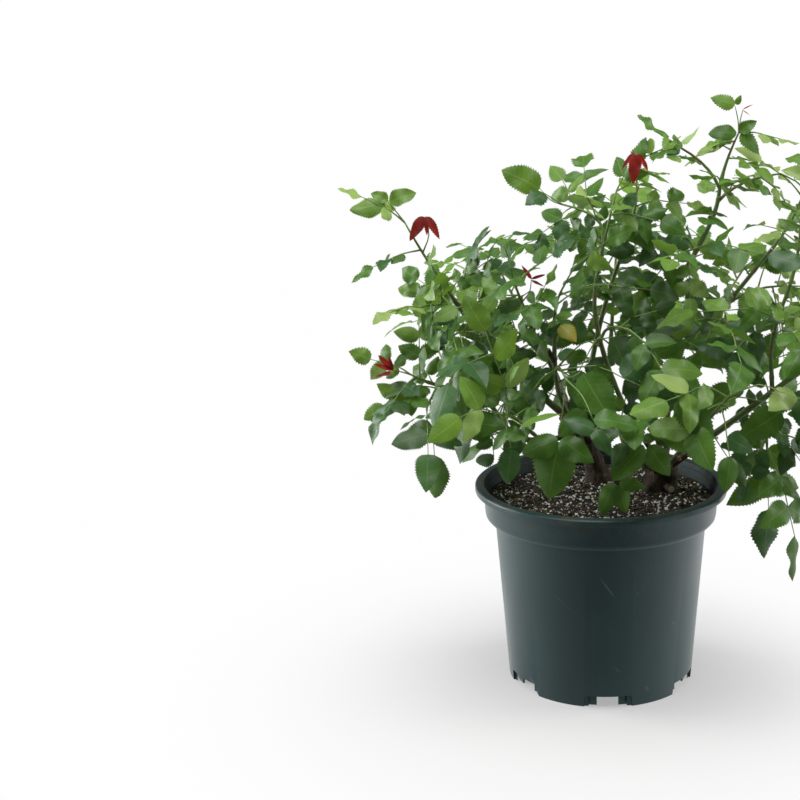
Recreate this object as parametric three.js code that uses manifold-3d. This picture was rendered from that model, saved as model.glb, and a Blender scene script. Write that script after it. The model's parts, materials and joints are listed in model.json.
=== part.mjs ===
// A rose bush in a round nursery pot: the pot and its filling, two trunks that rise from the
// filling, the canes that fork from them, and leafy shoots that grow on from the canes.
// Millimetres, +Z up, origin at the middle of the pot's underside, front towards -Y.

import * as THREE from 'three';
import { mergeVertices } from 'three/addons/utils/BufferGeometryUtils.js';
import Module from 'manifold-3d';

const wasm = await Module();
wasm.setup();

// ---------------------------------------------------------------- driving dimensions

const GAP = 0.3; // clear space between two solids that meet
const LEAF_GAP = 0.6; // clear space that a leaf or twig keeps from everything else

const POT = {
  height: 182.5,
  rimRadius: 112.5,
  rimDrop: 6, // depth of the turned-down lip
  lip: 1.7, // thickness of the lip
  collarTopRadius: 105.3,
  collarFootRadius: 103.5,
  collarFoot: 152, // height at which the collar starts
  bodyTopRadius: 94.8,
  footRadius: 83.6,
  wall: 1.8,
  plate: 10.5, // height of the base plate's underside
  bossRadius: 25, // flat boss in the middle of the base
  segments: 36,
};

const FOOT_NOTCH = { count: 6, first: -85, outerSpan: 29, innerSpan: 13 }; // degrees
const INNER_RING = { radius: 78.6, wall: 1.9 };

const SOIL_LEVEL = 168;

const LEAF = {
  width: 0.62, // of the leaflet's length
  thickness: 0.026, // of its length
  widest: 0.44, // of its length, from its root
  fold: 0.09, // lift of each edge over the midrib, of its width
  sink: 0.2, // how far its root goes past the twig's middle
  setback: 1.6, // from a side leaflet's root to the next bend of the twig
  petiole: 0.62, // of the leaflet's length
  interval: 0.6, // between two pairs, of the leaflet's length
  splay: 62, // degrees between a side leaflet and the twig
};

const TWIG_RADIUS = 0.95;
const STEM = { foot: 1.9, tip: 1.1, rings: 3 };
const PHYLLOTAXIS = 144; // degrees between one leaf and the next round a shoot
const TRIES = 8; // places that a leaf tries before it is left out
const CROWN_AXIS = new THREE.Vector3(10, 20, 0); // outward is away from this upright line
const SKY = new THREE.Vector3(0, -0.45, 0.75); // where the plant's light comes from

// Each limb tapers from its foot to its tip radius and is flared at its foot. It leaves its
// parent at a share of the parent's length, and passes the places given, the last its tip.
const LIMBS = [
  // name, parent, share of the parent, foot radius, tip radius, flare, places
  ['left_trunk', null, 0, 8.6, 6, 6, [[4, 50, 150], [-9, 46, 196], [-31, 40, 232]]],
  ['right_trunk', null, 0, 15, 12, 7, [[52, 26, 150], [55, 25, 176], [57, 24, 194]]],
  ['low_left_cane', 'left_trunk', 0.72, 3.4, 2.1, 0, [[-73, 25, 216], [-103, 2, 257], [-150, -20, 279]]],
  ['upper_left_cane', 'left_trunk', 1, 4.2, 2.4, 0, [[-74, 35, 273], [-114, 20, 323], [-134, 8, 356]]],
  ['middle_left_cane', 'left_trunk', 0.9, 3.2, 2, 0, [[-41, 12, 281], [-56, -16, 320], [-64, -30, 345]]],
  ['centre_cane', 'left_trunk', 0.6, 3.4, 2.4, 0, [[-26, 4, 236], [-38, -16, 280], [-39, -32, 330]]],
  ['tall_centre_cane', 'right_trunk', 0.85, 3.4, 2, 0, [[18, -6, 262], [-4, -20, 340], [3, -12, 405]]],
  ['rear_centre_cane', 'left_trunk', 0.75, 3.6, 2, 0, [[-3, 62, 300], [11, 56, 354], [25, 50, 395]]],
  ['tall_right_cane', 'right_trunk', 1, 4.4, 2, 0, [[46, 31, 268], [62, 33, 338], [98, 39, 412], [106, 40, 448]]],
  ['right_cane', 'right_trunk', 0.9, 3.8, 2.1, 0, [[70, 42, 286], [106, 47, 326], [152, 50, 384]]],
  ['far_right_cane', 'right_trunk', 0.7, 4.4, 2.6, 0, [[98, -10, 228], [148, -28, 273], [214, -30, 326]]],
  ['right_side_cane', 'far_right_cane', 0.66, 2.6, 1.8, 0, [[146, -26, 318], [160, -22, 365]]],
  ['rear_left_cane', 'left_trunk', 0.8, 3.6, 2, 0, [[-42, 92, 262], [-76, 128, 316]]],
  ['rear_cane', 'left_trunk', 0.5, 3.4, 2, 0, [[8, 104, 262], [14, 146, 338]]],
  ['rear_right_cane', 'right_trunk', 0.75, 3.6, 2, 0, [[82, 88, 258], [112, 126, 312]]],
  ['front_left_cane', 'left_trunk', 0.45, 3, 1.9, 0, [[-42, -26, 222], [-70, -82, 262]]],
  ['front_cane', 'right_trunk', 0.6, 3, 1.9, 0, [[26, -38, 222], [14, -80, 256]]],
  ['front_right_cane', 'right_trunk', 0.65, 3.2, 2, 0, [[74, -44, 230], [96, -88, 272]]],
].map(([name, from, at, foot, tip, flare, via]) => ({ name, from, at, foot, tip, flare, via }));

// Each mass of foliage is one shoot that leaves a limb at a share of the limb's length and
// bends to its tip, with compound leaves. Its seed settles how they stand.
const MASSES = [
  // name, limb, share of the limb, tip, leaves, length of a leaflet, droop, seed
  ['low_left_tip', 'low_left_cane', 1, [-166, -26, 288], 3, 27, 0.2, 4],
  ['low_left_hanging', 'low_left_cane', 0.9, [-150, -46, 262], 3, 40, 0.45, 28],
  ['low_left_inner', 'low_left_cane', 0.55, [-94, -46, 238], 3, 36, 0.4, 61],
  ['low_left_rear', 'low_left_cane', 0.75, [-148, 32, 300], 3, 34, 0.25, 31],
  ['upper_left_tip', 'upper_left_cane', 1, [-170, -4, 420], 3, 25, 0.15, 33],
  ['upper_left_side', 'upper_left_cane', 0.8, [-158, -16, 346], 3, 27, 0.15, 82],
  ['upper_left_rear', 'upper_left_cane', 0.75, [-116, 44, 384], 3, 30, 0.15, 4],
  ['upper_left_front', 'upper_left_cane', 0.55, [-126, -42, 326], 3, 36, 0.25, 24],
  ['middle_left_tip', 'middle_left_cane', 1, [-74, -40, 376], 3, 30, 0.2, 76],
  ['middle_left_front', 'middle_left_cane', 0.62, [-88, -74, 318], 3, 40, 0.3, 18],
  ['centre_tip', 'centre_cane', 1, [-30, -62, 372], 3, 37, 0.25, 2],
  ['centre_front', 'centre_cane', 0.7, [-28, -96, 300], 3, 43, 0.35, 72],
  ['tall_centre_left', 'tall_centre_cane', 1, [-32, -10, 434], 3, 34, 0.1, 24],
  ['tall_centre_right', 'tall_centre_cane', 0.8, [14, -20, 446], 3, 26, 0.2, 36],
  ['tall_centre_front', 'tall_centre_cane', 0.55, [24, -80, 338], 3, 42, 0.3, 31],
  ['rear_centre_tip', 'rear_centre_cane', 1, [32, 48, 464], 4, 25, 0.25, 28],
  ['rear_centre_side', 'rear_centre_cane', 0.7, [-30, 86, 392], 3, 40, 0.25, 45],
  ['tall_right_tip', 'tall_right_cane', 1, [120, 40, 488], 4, 21, 0.2, 2],
  ['tall_right_arching', 'tall_right_cane', 0.93, [58, 42, 482], 4, 22, 0.15, 37],
  ['tall_right_side', 'tall_right_cane', 0.84, [156, 37, 452], 3, 27, 0.2, 65],
  ['tall_right_front', 'tall_right_cane', 0.6, [66, -32, 392], 3, 40, 0.25, 2],
  ['right_tip', 'right_cane', 1, [186, 47, 462], 3, 31, 0.2, 72],
  ['right_rear', 'right_cane', 0.72, [172, 96, 342], 3, 40, 0.3, 46],
  ['right_front', 'right_cane', 0.55, [104, -48, 332], 3, 42, 0.3, 55],
  ['far_right_tip', 'far_right_cane', 1, [238, -26, 376], 3, 36, 0.2, 70],
  ['far_right_hanging', 'far_right_cane', 0.55, [140, -64, 232], 3, 45, 0.5, 28],
  ['far_right_front', 'far_right_cane', 0.85, [184, -82, 282], 3, 41, 0.35, 28],
  ['far_right_rear', 'far_right_cane', 0.75, [208, 34, 286], 3, 40, 0.3, 50],
  ['right_side_tip', 'right_side_cane', 1, [167, -20, 434], 3, 32, 0.2, 78],
  ['right_side_front', 'right_side_cane', 0.6, [148, -78, 336], 3, 41, 0.3, 88],
  ['rear_left_tip', 'rear_left_cane', 1, [-98, 142, 356], 3, 38, 0.3, 30],
  ['rear_left_side', 'rear_left_cane', 0.65, [-114, 104, 316], 3, 40, 0.35, 42],
  ['rear_tip', 'rear_cane', 1, [18, 164, 390], 3, 40, 0.25, 2],
  ['rear_side', 'rear_cane', 0.6, [56, 160, 300], 3, 42, 0.35, 96],
  ['rear_right_tip', 'rear_right_cane', 1, [138, 148, 352], 3, 40, 0.35, 59],
  ['front_left_tip', 'front_left_cane', 1, [-82, -104, 272], 3, 41, 0.35, 83],
  ['front_tip', 'front_cane', 1, [4, -106, 266], 3, 41, 0.4, 23],
  ['front_right_tip', 'front_right_cane', 1, [106, -110, 290], 3, 42, 0.35, 68],
].map(([name, on, at, tip, leaves, leaflet, droop, seed]) => ({
  name,
  on,
  at,
  tip,
  leaves,
  leaflet,
  droop,
  seed,
}));

const FINISH = {
  pot: { color: 0x25302f, roughness: 0.42, metalness: 0 },
  soil: { color: 0x2b231d, roughness: 0.95, metalness: 0 },
  trunk: { color: 0x3a2c20, roughness: 0.85, metalness: 0 },
  cane: { color: 0x57692f, roughness: 0.6, metalness: 0 },
  leaf: { color: 0x4b6f36, roughness: 0.5, metalness: 0 },
};

// ---------------------------------------------------------------- solids and meshes

const radians = THREE.MathUtils.degToRad;
const UP = new THREE.Vector3(0, 0, 1);

function solidFrom(points, triangles) {
  const vertProperties = new Float32Array(points.flatMap((p) => [p.x, p.y, p.z]));
  const triVerts = new Uint32Array(triangles.flat());
  return new wasm.Manifold(new wasm.Mesh({ numProp: 3, vertProperties, triVerts }));
}

// The solid of a closed three.js geometry, turned outward if its faces point in.
function solidOf(geometry) {
  const bare = geometry.clone();
  bare.deleteAttribute('normal');
  bare.deleteAttribute('uv');
  const merged = mergeVertices(bare, 1e-4);
  const place = merged.getAttribute('position');
  const pointAt = (_, i) => new THREE.Vector3().fromBufferAttribute(place, i);
  const points = Array.from({ length: place.count }, pointAt);
  const index = merged.getIndex().array;
  const triangles = [];
  let volume = 0;
  for (let i = 0; i < index.length; i += 3) {
    const [a, b, c] = [index[i], index[i + 1], index[i + 2]];
    if (a === b || b === c || c === a) continue;
    triangles.push([a, b, c]);
    volume += points[a].dot(new THREE.Vector3().crossVectors(points[b], points[c]));
  }
  return solidFrom(points, volume < 0 ? triangles.map(([a, b, c]) => [a, c, b]) : triangles);
}

// The largest body of a solid: a loose scrap that a cut leaves is dropped.
function largestBody(solid) {
  return solid.decompose().reduce((best, body) => (body.volume() > best.volume() ? body : best));
}

function meshOf(name, solid, finish) {
  const { vertProperties, triVerts } = solid.getMesh();
  const geometry = new THREE.BufferGeometry();
  geometry.setAttribute('position', new THREE.BufferAttribute(new Float32Array(vertProperties), 3));
  geometry.setIndex(new THREE.BufferAttribute(new Uint32Array(triVerts), 1));
  geometry.computeVertexNormals();
  const mesh = new THREE.Mesh(geometry, new THREE.MeshStandardMaterial(finish));
  mesh.name = name;
  return mesh;
}

function turned(profile) {
  const outline = profile.map(([radius, height]) => new THREE.Vector2(radius, height));
  return solidOf(new THREE.LatheGeometry(outline, POT.segments).rotateX(Math.PI / 2));
}

// ---------------------------------------------------------------- pot and filling

function potInnerRadius(height) {
  const rise = (height - POT.plate) / (POT.collarFoot - POT.plate);
  return THREE.MathUtils.lerp(POT.footRadius, POT.bodyTopRadius, rise) - POT.wall;
}

function potShell() {
  const { height, rimRadius, rimDrop, lip, wall, plate, bossRadius, collarFoot } = POT;
  return turned([
    [0, 0],
    [bossRadius, 0],
    [bossRadius + 1.5, plate],
    [POT.footRadius - 2.4, plate],
    [POT.footRadius - 2.6, 0],
    [POT.footRadius, 0],
    [POT.bodyTopRadius, collarFoot - 1],
    [POT.collarFootRadius, collarFoot],
    [POT.collarTopRadius, height - lip - 0.4],
    [rimRadius - lip, height - lip],
    [rimRadius - lip, height - rimDrop],
    [rimRadius, height - rimDrop],
    [rimRadius, height - 0.8],
    [rimRadius - 1, height],
    [POT.collarTopRadius - wall, height],
    [POT.collarFootRadius - wall, collarFoot + wall],
    [POT.bodyTopRadius - wall, collarFoot + wall - 1],
    [potInnerRadius(plate + 2), plate + 2],
    [0, plate + 2],
  ]);
}

// A block that fills a ring sector of the foot, from below the ground to the base plate.
function footSector(inner, outer, span, middle) {
  const from = radians(middle - span / 2);
  const to = radians(middle + span / 2);
  const outline = new THREE.Shape();
  outline.absarc(0, 0, outer, from, to, false);
  outline.absarc(0, 0, inner, to, from, true);
  const options = { depth: POT.plate + 2, bevelEnabled: false, curveSegments: 2 };
  return solidOf(new THREE.ExtrudeGeometry(outline, options).translate(0, 0, -2));
}

function pot() {
  const ring = turned([
    [INNER_RING.radius - INNER_RING.wall, 0],
    [INNER_RING.radius, 0],
    [INNER_RING.radius, POT.plate + 1],
    [INNER_RING.radius - INNER_RING.wall, POT.plate + 1],
    [INNER_RING.radius - INNER_RING.wall, 0],
  ]);
  let solid = potShell().add(ring);
  for (let i = 0; i < FOOT_NOTCH.count; i += 1) {
    const middle = FOOT_NOTCH.first + (360 / FOOT_NOTCH.count) * i;
    const { outerSpan, innerSpan } = FOOT_NOTCH;
    solid = solid.subtract(footSector(INNER_RING.radius + 0.8, POT.rimRadius, outerSpan, middle));
    solid = solid.subtract(footSector(INNER_RING.radius - 6, POT.rimRadius, innerSpan, middle));
  }
  return solid;
}

// The filling has a flat top at the soil level and keeps clear of the pot all round.
function soil() {
  const floor = POT.plate + 2 + GAP;
  const step = POT.collarFoot + POT.wall;
  const slope = (POT.collarTopRadius - POT.collarFootRadius) / (POT.height - step);
  const bodyTop = POT.bodyTopRadius - POT.wall - GAP;
  const collar = POT.collarFootRadius - POT.wall - GAP;
  return turned([
    [0, floor],
    [potInnerRadius(floor) - GAP, floor],
    [bodyTop - 0.1, step - 1],
    [bodyTop - 0.1, step + GAP],
    [collar - 0.1, step + GAP],
    [collar + slope * (SOIL_LEVEL - step) - 0.1, SOIL_LEVEL],
    [0, SOIL_LEVEL],
  ]);
}

// ---------------------------------------------------------------- limbs

// The world axis that is least in line with a path, which steadies the path's sections.
function steadyAxis(path) {
  const chord = path.getPoint(1).sub(path.getPoint(0));
  const [x, y, z] = [Math.abs(chord.x), Math.abs(chord.y), Math.abs(chord.z)];
  if (x <= y && x <= z) return new THREE.Vector3(1, 0, 0);
  return y <= z ? new THREE.Vector3(0, 1, 0) : new THREE.Vector3(0, 0, 1);
}

// The corners of a path's section at a share of its length.
function section(path, along, radius, sides, shift = 0) {
  const forward = path.getTangent(along);
  const across = new THREE.Vector3().crossVectors(steadyAxis(path), forward).normalize();
  const other = new THREE.Vector3().crossVectors(forward, across);
  const middle = path.getPoint(along).addScaledVector(forward, shift);
  return Array.from({ length: sides }, (_, i) => {
    const angle = (i * 2 * Math.PI) / sides;
    const corner = middle.clone().addScaledVector(across, radius * Math.cos(angle));
    return corner.addScaledVector(other, radius * Math.sin(angle));
  });
}

// A closed tube through rings of corners, with flat ends.
function tube(rings) {
  const sides = rings[0].length;
  const triangles = [];
  for (let i = 0; i + 1 < rings.length; i += 1) {
    for (let j = 0; j < sides; j += 1) {
      const [a, b] = [i * sides + j, i * sides + ((j + 1) % sides)];
      triangles.push([a, b, b + sides], [a, b + sides, a + sides]);
    }
  }
  const last = (rings.length - 1) * sides;
  for (let j = 1; j + 1 < sides; j += 1) {
    triangles.push([0, j + 1, j], [last, last + j, last + j + 1]);
  }
  return solidFrom(rings.flat(), triangles);
}

const LIMB_SIDES = 5;
const LIMB_RINGS = 6;

function limbRadius(limb, along) {
  const taper = THREE.MathUtils.lerp(limb.foot, limb.tip, along);
  return taper + limb.flare * Math.exp(-7 * Math.max(along - 0.2, 0));
}

function limbTube(limb, extra) {
  const rings = Array.from({ length: LIMB_RINGS }, (_, i) => {
    const along = i / (LIMB_RINGS - 1);
    const shift = i === LIMB_RINGS - 1 ? extra : 0;
    return section(limb.path, along, limbRadius(limb, along) + extra, LIMB_SIDES, shift);
  });
  return tube(rings);
}

function layLimbs() {
  const limbs = new Map();
  for (const row of LIMBS) {
    const places = row.via.map(([x, y, z]) => new THREE.Vector3(x, y, z));
    if (row.from) places.unshift(limbs.get(row.from).path.getPoint(row.at));
    limbs.set(row.name, { ...row, path: new THREE.CatmullRomCurve3(places, false, 'catmullrom', 0.5) });
  }
  return limbs;
}

// A solid cut back to leave a gap round each of some limbs.
function clearOf(limbs, solid) {
  return largestBody(limbs.reduce((rest, limb) => rest.subtract(limbTube(limb, GAP)), solid));
}

// A limb is cut back from the ground and from the limbs laid before it, which carry it.
function limbSolid(limb, limbs) {
  const ground = new THREE.BoxGeometry(400, 400, 100).translate(0, 0, SOIL_LEVEL + GAP - 50);
  const laid = [...limbs.values()];
  return clearOf(laid.slice(0, laid.indexOf(limb)), limbTube(limb, 0).subtract(solidOf(ground)));
}

// ---------------------------------------------------------------- clear space

// A block is a convex set of corners that the tests below can hold apart from another.
function block(corners, axes, forward) {
  const centre = corners.reduce((sum, p) => sum.add(p), new THREE.Vector3()).divideScalar(corners.length);
  const reach = Math.max(...corners.map((p) => p.distanceTo(centre)));
  return { corners, axes, forward, centre, reach };
}

function normalTo(a, b) {
  return new THREE.Vector3().crossVectors(a, b).normalize();
}

// A block for the stretch of a tube between two rings.
function stretchBlock(near, far) {
  const forward = far[0].clone().sub(near[0]).normalize();
  const sides = near.map((p, i) => normalTo(near[(i + 1) % near.length].clone().sub(p), forward));
  return block([...near, ...far], [forward, ...sides], forward);
}

function leafBlock(points, normal, forward) {
  const [root, left, tip, right] = points;
  const outline = [root, left, tip, right];
  const edges = outline.map((p, i) => normalTo(normal, outline[(i + 1) % 4].clone().sub(p)));
  return block(points, [normal, ...edges], forward);
}

function span(corners, axis) {
  const along = corners.map((p) => p.dot(axis));
  return [Math.min(...along), Math.max(...along)];
}

// True if some plane holds the two blocks at least LEAF_GAP apart.
function apart(a, b) {
  if (a.centre.distanceTo(b.centre) > a.reach + b.reach + LEAF_GAP) return true;
  const between = b.centre.clone().sub(a.centre).normalize();
  const axes = [between, ...a.axes, ...b.axes];
  const crossed = new THREE.Vector3().crossVectors(a.forward, b.forward);
  if (crossed.length() > 0.05) axes.push(crossed.normalize());
  return axes.some((axis) => {
    const [aLow, aHigh] = span(a.corners, axis);
    const [bLow, bHigh] = span(b.corners, axis);
    return aLow - bHigh > LEAF_GAP || bLow - aHigh > LEAF_GAP;
  });
}

function potBlocks() {
  const ring = (height) =>
    Array.from({ length: 16 }, (_, i) => {
      const angle = (i * Math.PI) / 8;
      const radius = POT.rimRadius / Math.cos(Math.PI / 16);
      return new THREE.Vector3(radius * Math.cos(angle), radius * Math.sin(angle), height);
    });
  const sides = Array.from({ length: 8 }, (_, i) => {
    const angle = ((i + 0.5) * Math.PI) / 8;
    return new THREE.Vector3(Math.cos(angle), Math.sin(angle), 0);
  });
  return [block([...ring(0), ...ring(POT.height)], [UP, ...sides], UP)];
}

function limbBlocks(limb) {
  const steps = LIMB_RINGS - 1;
  return Array.from({ length: steps }, (_, i) => {
    const [near, far] = [i / steps, (i + 1) / steps];
    return stretchBlock(
      section(limb.path, near, limbRadius(limb, near), LIMB_SIDES),
      section(limb.path, far, limbRadius(limb, far), LIMB_SIDES),
    );
  });
}

// ---------------------------------------------------------------- foliage

// Even numbers from 0 to 1 that repeat for the same seed.
function random(seed) {
  let state = seed >>> 0;
  return () => {
    state = (state + 0x6d2b79f5) >>> 0;
    let mixed = Math.imul(state ^ (state >>> 15), state | 1);
    mixed ^= mixed + Math.imul(mixed ^ (mixed >>> 7), mixed | 61);
    return ((mixed ^ (mixed >>> 14)) >>> 0) / 4294967296;
  };
}

// A shoot bends to its tip. At its limb's tip it goes on from the limb, just clear of it, and
// elsewhere it leaves the limb between the limb's direction and its own.
function shootPath(mass, limb) {
  const foot = limb.path.getPoint(mass.at);
  const tip = new THREE.Vector3(...mass.tip);
  const lead = limb.path.getTangent(mass.at);
  if (mass.at === 1) foot.addScaledVector(lead, GAP + 0.05);
  else lead.add(tip.clone().sub(foot).normalize()).normalize();
  const bend = foot.clone().addScaledVector(lead, foot.distanceTo(tip) * 0.45);
  return new THREE.QuadraticBezierCurve3(foot, bend, tip);
}

function shootRings(path) {
  return Array.from({ length: STEM.rings }, (_, i) => {
    const along = i / (STEM.rings - 1);
    return section(path, along, THREE.MathUtils.lerp(STEM.foot, STEM.tip, along), 3);
  });
}

// A leaflet is a folded lozenge, thickest at its midrib: root, left, tip, right, crest, keel.
function leaflet(root, forward, normal, length) {
  const left = new THREE.Vector3().crossVectors(normal, forward);
  const at = (along, side, lift) =>
    root.clone().addScaledVector(forward, along).addScaledVector(left, side).addScaledVector(normal, lift);
  const half = (LEAF.width * length) / 2;
  const lift = LEAF.fold * LEAF.width * length;
  const points = [
    at(-LEAF.sink, 0, 0),
    at(LEAF.widest * length, half, lift),
    at(length, 0, 0),
    at(LEAF.widest * length, -half, lift),
    at(LEAF.widest * length, 0, (LEAF.thickness * length) / 2),
    at(LEAF.widest * length, 0, (-LEAF.thickness * length) / 2),
  ];
  return { points, block: leafBlock(points, normal, forward) };
}

function leafletSolid(points) {
  const top = [[0, 4, 1], [1, 4, 2], [2, 4, 3], [3, 4, 0]];
  const under = [[0, 1, 5], [1, 2, 5], [2, 3, 5], [3, 0, 5]];
  return solidFrom(points, [...top, ...under]);
}

function twigRing(middle, forward, normal) {
  const side = new THREE.Vector3().crossVectors(forward, normal);
  return [0, 120, 240].map((angle) =>
    middle
      .clone()
      .addScaledVector(normal, TWIG_RADIUS * Math.cos(radians(angle)))
      .addScaledVector(side, TWIG_RADIUS * Math.sin(radians(angle))),
  );
}

// One try at a compound leaf: a twig that droops, pairs of leaflets along it and one at its end.
function compoundLeaf(mass, path, number, attempt) {
  const draw = random(mass.seed * 7919 + number * 131 + attempt);
  const last = number === mass.leaves - 1;
  const along = last ? 1 : 0.28 + (0.72 * (number + 1)) / mass.leaves;
  const forward = path.getTangent(along);
  const across = new THREE.Vector3().crossVectors(steadyAxis(path), forward).normalize();
  const other = new THREE.Vector3().crossVectors(forward, across);
  const turn = radians(number * PHYLLOTAXIS + draw() * 360);
  const open = radians(last ? 10 + 25 * draw() : 48 + 30 * draw());
  const length = mass.leaflet * (0.86 + 0.28 * draw());
  const pairs = draw() < 0.25 ? 1 : 2;
  const roll = radians(50 * (draw() - 0.5));
  let heading = forward
    .clone()
    .multiplyScalar(Math.cos(open))
    .addScaledVector(across, Math.sin(open) * Math.cos(turn))
    .addScaledVector(other, Math.sin(open) * Math.sin(turn));
  let place = path.getPoint(along);
  const outward = place.clone().sub(CROWN_AXIS).setZ(0).normalize();
  const light = SKY.clone().addScaledVector(outward, 0.4);
  const rings = [];
  const leaflets = [];
  let normal;
  for (let joint = 0; joint <= pairs; joint += 1) {
    const share = joint === 0 ? LEAF.petiole * (0.85 + 0.4 * draw()) : LEAF.interval;
    normal = light.clone().addScaledVector(heading, -light.dot(heading)).normalize();
    normal.applyAxisAngle(heading, roll);
    if (joint === 0) rings.push(twigRing(place, heading, normal));
    place = place.clone().addScaledVector(heading, share * length);
    if (joint !== 1 || pairs === 1) rings.push(twigRing(place, heading, normal));
    if (joint === pairs) break;
    const size = length * (joint === pairs - 1 ? 0.9 : 0.74);
    for (const side of [1, -1]) {
      const splay = radians(LEAF.splay + 14 * (draw() - 0.5)) * side;
      const aside = heading.clone().applyAxisAngle(normal, splay);
      const tilt = radians(24 * (draw() - 0.4));
      const face = normal.clone().applyAxisAngle(heading, -tilt * side);
      face.addScaledVector(aside, -face.dot(aside)).normalize();
      leaflets.push(leaflet(place.clone().addScaledVector(heading, -LEAF.setback), aside, face, size));
    }
    if (joint === 0) heading = heading.clone().addScaledVector(UP, -1.6 * mass.droop).normalize();
  }
  leaflets.push(leaflet(place.clone().addScaledVector(heading, -LEAF.setback), heading, normal, length));
  const twigs = rings.slice(1).map((ring, i) => stretchBlock(rings[i], ring));
  return { rings, twigs, leaflets };
}

// Lays all shoots, then grows the masses in turn: a leaf whose twig would touch anything
// tries another stand, and a leaflet that would touch anything is left out.
function growFoliage(limbs) {
  const kept = [...limbs.values()].flatMap(limbBlocks).concat(potBlocks());
  const shoots = MASSES.map((mass) => {
    const path = shootPath(mass, limbs.get(mass.on));
    const rings = shootRings(path);
    const blocks = rings.slice(1).map((ring, i) => stretchBlock(rings[i], ring));
    kept.push(...blocks);
    return { mass, path, rings, blocks, leaves: [] };
  });
  for (const shoot of shoots) {
    for (let number = 0; number < shoot.mass.leaves; number += 1) {
      growLeaf(shoot, number, kept);
    }
  }
  return shoots;
}

function growLeaf(shoot, number, kept) {
  const free = (item, ignored) => kept.every((other) => ignored.includes(other) || apart(item, other));
  for (let attempt = 0; attempt < TRIES; attempt += 1) {
    const leaf = compoundLeaf(shoot.mass, shoot.path, number, attempt);
    const clear = leaf.twigs.every((twig, i) => free(twig, i === 0 ? shoot.blocks : []));
    if (!clear) continue;
    const leaflets = leaf.leaflets.filter((item) => free(item.block, []));
    if (leaflets.length < leaf.leaflets.length - 1) continue;
    shoot.leaves.push({ rings: leaf.rings, leaflets });
    kept.push(...leaf.twigs, ...leaflets.map((item) => item.block));
    return;
  }
}

// The shoot, its twigs and their leaflets joined into one solid, cut back from its limb.
function massSolid(shoot, limbs) {
  const parts = [tube(shoot.rings)];
  for (const leaf of shoot.leaves) {
    parts.push(tube(leaf.rings), ...leaf.leaflets.map((item) => leafletSolid(item.points)));
  }
  const whole = wasm.Manifold.union(parts);
  return clearOf([...limbs.values()], whole);
}

// ---------------------------------------------------------------- assembly

const roseBush = new THREE.Group();
roseBush.name = 'rose_bush';

const limbs = layLimbs();
roseBush.add(meshOf('pot', pot(), FINISH.pot));
roseBush.add(meshOf('soil', soil(), FINISH.soil));
for (const limb of limbs.values()) {
  roseBush.add(meshOf(limb.name, limbSolid(limb, limbs), limb.from ? FINISH.cane : FINISH.trunk));
}
for (const shoot of growFoliage(limbs)) {
  roseBush.add(meshOf(`${shoot.mass.name}_foliage`, massSolid(shoot, limbs), FINISH.leaf));
}

export default roseBush;
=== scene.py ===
"""Looks of a rose bush that grows in a round nursery pot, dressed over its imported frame.

The pot, its potting mix, the two trunks, the canes and the leafy shoots are built at the
places of the frame's solids and stand for them. Sizes in the classes are millimetres, and
the finished pieces are metres, with +Z up and the pot's underside at the origin.
"""

from __future__ import annotations

import json
import logging
import math
from dataclasses import dataclass
from enum import Enum
from typing import Any, Sequence

import bmesh
import bpy
import numpy as np
from mathutils import Euler, Matrix, Vector, noise

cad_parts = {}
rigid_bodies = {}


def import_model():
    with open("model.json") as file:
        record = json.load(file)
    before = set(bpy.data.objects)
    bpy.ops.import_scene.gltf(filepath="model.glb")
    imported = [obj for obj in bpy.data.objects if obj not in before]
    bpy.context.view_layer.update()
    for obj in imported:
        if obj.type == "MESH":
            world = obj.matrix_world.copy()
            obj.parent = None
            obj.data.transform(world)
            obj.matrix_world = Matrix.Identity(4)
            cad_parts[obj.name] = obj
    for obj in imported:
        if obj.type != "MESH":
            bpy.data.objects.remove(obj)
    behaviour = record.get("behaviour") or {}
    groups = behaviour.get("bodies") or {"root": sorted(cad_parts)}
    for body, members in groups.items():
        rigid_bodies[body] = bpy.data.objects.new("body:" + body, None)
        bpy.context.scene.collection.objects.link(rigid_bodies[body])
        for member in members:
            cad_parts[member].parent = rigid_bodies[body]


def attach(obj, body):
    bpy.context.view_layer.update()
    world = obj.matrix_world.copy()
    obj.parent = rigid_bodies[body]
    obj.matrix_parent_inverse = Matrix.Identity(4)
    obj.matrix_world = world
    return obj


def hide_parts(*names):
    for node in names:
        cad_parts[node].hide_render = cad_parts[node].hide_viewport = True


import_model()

Shape = bmesh.types.BMesh
Mesh, Material, NodeTree = bpy.types.Mesh, bpy.types.Material, bpy.types.NodeTree

LOG = logging.getLogger("rose_bush")
MM = 0.001
UP = np.array([0.0, 0.0, 1.0])


class Slot(Enum):
    """The material slots of the record."""

    POT = "pot"
    SOIL = "soil"
    BARK = "bark"
    CANE = "cane"
    FOLIAGE = "foliage"


# ---- vectors and curves


def unit(v: np.ndarray) -> np.ndarray:
    """The vector at length one."""
    return v / math.sqrt(float(v @ v))


def cross(a: np.ndarray, b: np.ndarray) -> np.ndarray:
    """The cross product of two vectors.

    Args:
        a: the first vector.
        b: the second vector.

    Returns:
        The vector square to both.
    """
    return np.array(
        [a[1] * b[2] - a[2] * b[1], a[2] * b[0] - a[0] * b[2], a[0] * b[1] - a[1] * b[0]]
    )


def turned(v: np.ndarray, axis: np.ndarray, angle: float) -> np.ndarray:
    """The vector turned about an axis of length one, by an angle in radians."""
    c, s = math.cos(angle), math.sin(angle)
    return v * c + cross(axis, v) * s + axis * float(axis @ v) * (1 - c)


def held(value: float, low: float = 0.0, high: float = 1.0) -> float:
    """The value, or the end of the span that it lies past."""
    return min(max(value, low), high)


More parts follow.
